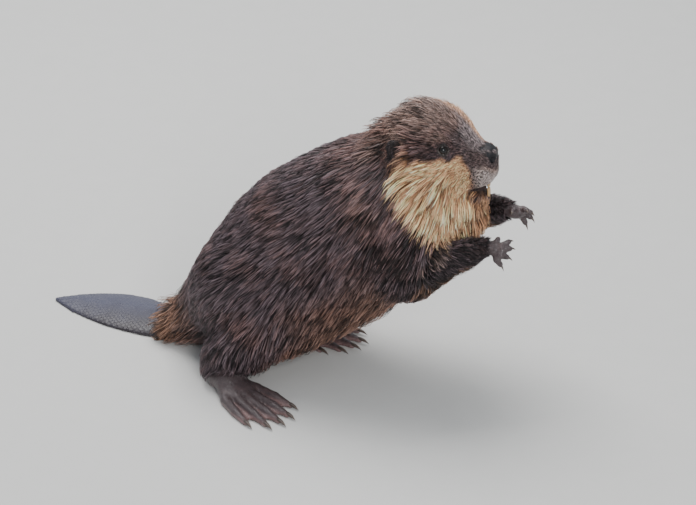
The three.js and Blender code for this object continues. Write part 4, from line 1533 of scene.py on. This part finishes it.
class BEAVER_OT_claws(bpy.types.Operator):
    """Sets the claws on the hind feet and forepaws"""

    bl_idname = "beaver.claws"
    bl_label = "Claws"

    def execute(self, context):
        bare = context.scene.beaver_bare
        material = horn_material("claw_horn", bare.claw, (0.16, 0.12, 0.10), 0.34)
        claws = Horns()

        def add(points, radius):
            points = np.asarray(points, float)
            radii = radius * np.array([0.9, 1.0, 0.86, 0.6, 0.3, 0.0])
            t = np.linspace(0, 1, 6)[:, None]
            curve = (1 - t) ** 2 * points[0] + 2 * t * (1 - t) * points[1] + t * t * points[2]
            claws.add(curve, radii, 8, 0.85, t[:, 0])

        for side in SIDES:
            for v, reach in zip(TOES, TOE_REACH):
                far, out = FOOT_LONG * reach, v * TOE_OUT[-1]
                add(from_foot([[far - 9, out, 5.0], [far + 5, out * 1.03, 7.4],
                               [far + 12.5, out * 1.05, 1.7]], side), TOE_CLAW_R)
            for _, joint, tip, point in fingers_of(side)[1]:
                heading = (tip - joint) / np.linalg.norm(tip - joint)
                add([tip - heading * 2.5, tip + heading * 4.4 + [0, 0, 1.4], point], FINGER_CLAW_R)
        claws.finish("claws", material)
        return {"FINISHED"}


class BEAVER_OT_teeth(bpy.types.Operator):
    """Sets the four orange incisors"""

    bl_idname = "beaver.teeth"
    bl_label = "Teeth"

    def execute(self, context):
        bare = context.scene.beaver_bare
        material = horn_material("enamel", bare.enamel, (0.62, 0.40, 0.20), 0.22)
        teeth = Horns()
        x, wide, thick = INCISORS["x"], INCISORS["wide"], INCISORS["thick"]
        for z_tip, z_root in (INCISORS["upper"], INCISORS["lower"]):
            for side in SIDES:
                t = np.array([0, 0.25, 0.5, 0.75, 0.97, 1.0])
                z = z_root + (z_tip - z_root) * t
                bow = 1.6 * np.sin(np.pi * t * 0.9)
                front = x + thick / 2 - 0.6 + bow * 0.6
                points = np.stack([front, np.full(6, side * wide / 2), z], 1)
                radii = wide / 2 * np.array([0.9, 0.96, 0.98, 0.95, 0.84, 0.0])
                teeth.add(points, radii, 10, 1.15, t)
        teeth.finish("incisors", material)
        return {"FINISHED"}


WHISKER_SEED = 31
WHISKER_TAPER = np.array([1, 0.9, 0.75, 0.55, 0.35, 0.0])
ROOT_TAPER = np.array([1, 0.98, 0.85, 0.0])  # of the dark button that a whisker grows from


class BEAVER_OT_whiskers(bpy.types.Operator):
    """Sets the whiskers and their dark roots on the muzzle"""

    bl_idname = "beaver.whiskers"
    bl_label = "Whiskers"

    def execute(self, context):
        longest = context.scene.beaver_bare.whisker * 1000
        rng = np.random.default_rng(WHISKER_SEED)
        material = horn_material("whisker", (0.012, 0.009, 0.008), (0.06, 0.045, 0.038), 0.4)
        spots, reach = [], []
        for side in SIDES:
            for row in range(5):
                for k in range(7 - row // 2):
                    spots.append([366 - 4.3 * k - row, side * 30, 333 - 4.6 * row + 0.5 * k])
                    reach.append(0.45 + 0.55 * k / 6)
        spots = np.array(spots, float) + rng.normal(0, 0.5, (len(spots), 3))
        inner = spots * [1, 0.2, 1]
        for _ in range(24):  # walks in from the side until the skin is met
            d = np.maximum(flesh(spots), 0)[:, None]
            spots += unit(inner - spots) * d * 0.8
        n = normals_of(flesh, spots)[1]
        whiskers = Horns()
        for at, normal, part in zip(spots, n, reach):
            long = longest * part * rng.uniform(0.7, 1.0)
            heading = normal * 0.75 + np.array([-0.45, 0, -0.22]) + rng.normal(0, 0.08, 3)
            t = np.linspace(0, 1, 6)[:, None]
            curve = at - normal * HAIR_ROOT + heading * long * t
            curve = curve + np.array([-0.10, 0, -0.30]) * long * t * t
            whiskers.add(curve, 0.24 * WHISKER_TAPER, 3, 1.0, t[:, 0])
            t = np.linspace(0, 1, 4)[:, None]
            button = at - normal * 0.6 + normal * 3.0 * t
            whiskers.add(button, 1.3 * ROOT_TAPER, 6, 1.0, np.zeros(4), tip=0.2)
        whiskers.finish("whiskers", material)
        return {"FINISHED"}


def scales_tree(material):
    """A node tree that sets a low six-sided plate on every point."""
    tree = bpy.data.node_groups.new("tail_scale_plates", "GeometryNodeTree")
    for label, kind in (("Geometry", "Geometry"), ("Scale Length", "Float"),
                        ("Scale Width", "Float"), ("Thickness", "Float"), ("Variation", "Float"),
                        ("Seed", "Int")):
        tree.interface.new_socket(label, in_out="INPUT", socket_type="NodeSocket" + kind)
    tree.interface.new_socket("Geometry", in_out="OUTPUT", socket_type="NodeSocketGeometry")
    net = Net(tree)
    given, out = net.add("NodeGroupInput"), net.add("NodeGroupOutput")
    plate = net.add("GeometryNodeMeshCone", {
        "Vertices": 6, "Side Segments": 1, "Radius Top": 0.46, "Radius Bottom": 0.56,
        "Depth": given.outputs["Thickness"]}, fill_type="NGON").outputs["Mesh"]
    turn = net.add("GeometryNodeInputNamedAttribute", {"Name": "turn"}, data_type="FLOAT_VECTOR")
    spin = net.add("FunctionNodeEulerToRotation", {0: turn.outputs[0]})
    low = net.math("SUBTRACT", 1.0, given.outputs["Variation"])
    vary = net.add("FunctionNodeRandomValue", {2: low, 3: 1.0, "Seed": given.outputs["Seed"]},
                   data_type="FLOAT").outputs[1]
    scale = net.add("ShaderNodeCombineXYZ", {
        0: net.math("MULTIPLY", given.outputs["Scale Length"], vary),
        1: net.math("MULTIPLY", given.outputs["Scale Width"], vary), 2: 1.0})
    placed = net.add("GeometryNodeInstanceOnPoints", {
        "Points": given.outputs["Geometry"], "Instance": plate, "Rotation": spin.outputs[0],
        "Scale": scale.outputs[0]})
    real = net.add("GeometryNodeRealizeInstances", {"Geometry": placed.outputs[0]})
    dressed = net.add("GeometryNodeSetMaterial",
                      {"Geometry": real.outputs[0], "Material": material})
    net.put(out.inputs[0], dressed.outputs[0])
    return tree


def plain_result(carrier, tree, values, name):
    """Runs a tree on a carrier and keeps its result as a plain piece."""
    modifier = carrier.modifiers.new("plates", "NODES")
    modifier.node_group = tree
    for item in tree.interface.items_tree:
        if item.in_out == "INPUT" and item.name in values:
            modifier[item.identifier] = values[item.name]
    graph = bpy.context.evaluated_depsgraph_get()
    mesh = bpy.data.meshes.new_from_object(carrier.evaluated_get(graph), depsgraph=graph)
    bpy.data.objects.remove(carrier)
    mesh.name = name
    return linked(name, mesh)


SCALES_FROM = -90.0  # where the scales begin, at the tail's root
SCALE_MARGIN = 5  # bare rim round the scales
SCALE_OVERLAP = 0.86  # the rows' spacing in scale lengths
SCALE_INPUTS = {"Thickness": 0.00024, "Variation": 0.14, "Seed": 4}


class BEAVER_OT_tail_scales(bpy.types.Operator):
    """Lays small six-sided scales over the tail"""

    bl_idname = "beaver.tail_scales"
    bl_label = "Tail scales"

    def execute(self, context):
        bare = context.scene.beaver_bare
        length, width = bare.scale_length * 1000, bare.scale_width * 1000
        places = []
        row, x = 0, SCALES_FROM
        while x > TAIL[0, 0] + SCALE_MARGIN:
            middle, half, thick = (np.interp(x, TAIL[:, 0], TAIL[:, k]) for k in (1, 2, 3))
            half, thick = half - SCALE_MARGIN, thick - BARE_DEPTH
            for offset in np.arange(-half + (row % 2) * width / 2, half, width):
                places.append([x, middle + offset, thick * (1 - TAIL_CROWN * (offset / half) ** 2)])
            x -= length * SCALE_OVERLAP
            row += 1
        places = settle(flesh, np.array(places), 4)
        n = normals_of(flesh, places)[1]
        level = n[:, 2] > 0.6
        places, n = places[level], n[level]
        back = np.array([-1.0, 0, 0])
        heading = unit(back - n * (n @ back)[:, None] + 0.05 * n)
        turns = []
        for normal, ahead in zip(n, heading):
            up = normal - ahead * (normal @ ahead)
            up /= np.linalg.norm(up)
            basis = Matrix([ahead, np.cross(up, ahead), up]).transposed()
            turns.append(basis.to_euler("XYZ")[:])
        mesh = bpy.data.meshes.new("scale_places")
        mesh.from_pydata(metres(places - n * 0.15).tolist(), [], [])
        set_floats(mesh, "turn", turns, "FLOAT_VECTOR")
        values = {"Scale Length": bare.scale_length, "Scale Width": bare.scale_width,
                  **SCALE_INPUTS}
        tree = scales_tree(scale_material(bare))
        piece = plain_result(linked("scale_places", mesh), tree, values, "tail_scales")
        piece.data.polygons.foreach_set("use_smooth", [False] * len(piece.data.polygons))
        finish_piece(piece, None)
        return {"FINISHED"}


FLOOR_HALF = 9.0  # metres
SKY_COLOUR = (0.86, 0.93, 1.0, 1)
LAMPS = (  # name, place in metres, share of the lamp's power, width
    ("soft_top", (-0.7, 0.9, 2.6), 1.0, 2.0),
    ("soft_front", (1.4, -2.2, 1.5), 0.5, 0.8),
)
LOOK_AT = (169.6, 0, 169.8)
SENSOR = 36.0  # millimetres
VIEW_WIDTH = 696  # pixels


class BEAVER_OT_stage(bpy.types.Operator):
    """Sets the floor, the soft light and the camera"""

    bl_idname = "beaver.stage"
    bl_label = "Stage"

    def execute(self, context):
        stage = context.scene.beaver_stage
        scene = context.scene
        mesh = bpy.data.meshes.new("studio_floor")
        half = FLOOR_HALF
        corners = [(-half, -half, 0), (half, -half, 0), (half, half, 0), (-half, half, 0)]
        mesh.from_pydata(corners, [], [(0, 1, 2, 3)])
        mesh.materials.append(floor_material(stage))
        linked("studio_floor", mesh)
        world = bpy.data.worlds.new("studio")
        world.use_nodes = True
        sky = world.node_tree.nodes["Background"].inputs
        sky["Color"].default_value, sky["Strength"].default_value = SKY_COLOUR, stage.sky
        scene.world = world
        look = Vector(metres(LOOK_AT))
        for name, place, power, width in LAMPS:
            data = bpy.data.lights.new(name, "AREA")
            data.energy, data.size = stage.lamp * power, width
            lamp = linked(name, data)
            lamp.location = place
            lamp.rotation_euler = (look - Vector(place)).to_track_quat("-Z", "Y").to_euler()
        a, e = stage.azimuth, stage.elevation
        back = Vector((math.sin(a) * math.cos(e), -math.cos(a) * math.cos(e), math.sin(e)))
        data = bpy.data.cameras.new("camera")
        data.sensor_width = SENSOR
        data.lens = stage.pixels_per_mm * stage.distance * 1000 * SENSOR / VIEW_WIDTH
        data.clip_start, data.clip_end = 0.1, 60.0
        camera = linked("camera", data)
        camera.location = look + back * stage.distance
        camera.rotation_euler = (-back).to_track_quat("-Z", "Y").to_euler()
        scene.camera = camera
        return {"FINISHED"}


PIECES = (BEAVER_OT_stage, BEAVER_OT_skin, BEAVER_OT_eyes, BEAVER_OT_teeth, BEAVER_OT_claws,
          BEAVER_OT_whiskers, BEAVER_OT_tail_scales, BEAVER_OT_coat)
SETTINGS = (("beaver_coat", BeaverCoatSettings), ("beaver_bare", BeaverBareSettings),
            ("beaver_stage", BeaverStageSettings))


class BEAVER_PT_panel(bpy.types.Panel):
    """Lists the beaver's pieces and settings"""

    bl_idname = "BEAVER_PT_panel"
    bl_label = "Beaver"
    bl_space_type = "VIEW_3D"
    bl_region_type = "UI"
    bl_category = "Beaver"

    def draw(self, context):
        for piece in PIECES:
            self.layout.operator(piece.bl_idname)
        for name, group in SETTINGS:
            box = self.layout.box()
            for key in group.__annotations__:
                box.prop(getattr(context.scene, name), key)


def register():
    for name, group in SETTINGS:
        bpy.utils.register_class(group)
        setattr(bpy.types.Scene, name, bpy.props.PointerProperty(type=group))
    for piece in (*PIECES, BEAVER_PT_panel):
        bpy.utils.register_class(piece)


def unregister():
    for piece in reversed((*PIECES, BEAVER_PT_panel)):
        bpy.utils.unregister_class(piece)
    for name, group in reversed(SETTINGS):
        delattr(bpy.types.Scene, name)
        bpy.utils.unregister_class(group)


def main():
    register()
    bpy.ops.beaver.stage()
    bpy.ops.beaver.skin()
    bpy.ops.beaver.eyes()
    bpy.ops.beaver.teeth()
    bpy.ops.beaver.claws()
    bpy.ops.beaver.whiskers()
    bpy.ops.beaver.tail_scales()
    bpy.ops.beaver.coat()


if __name__ == "__main__":
    main()
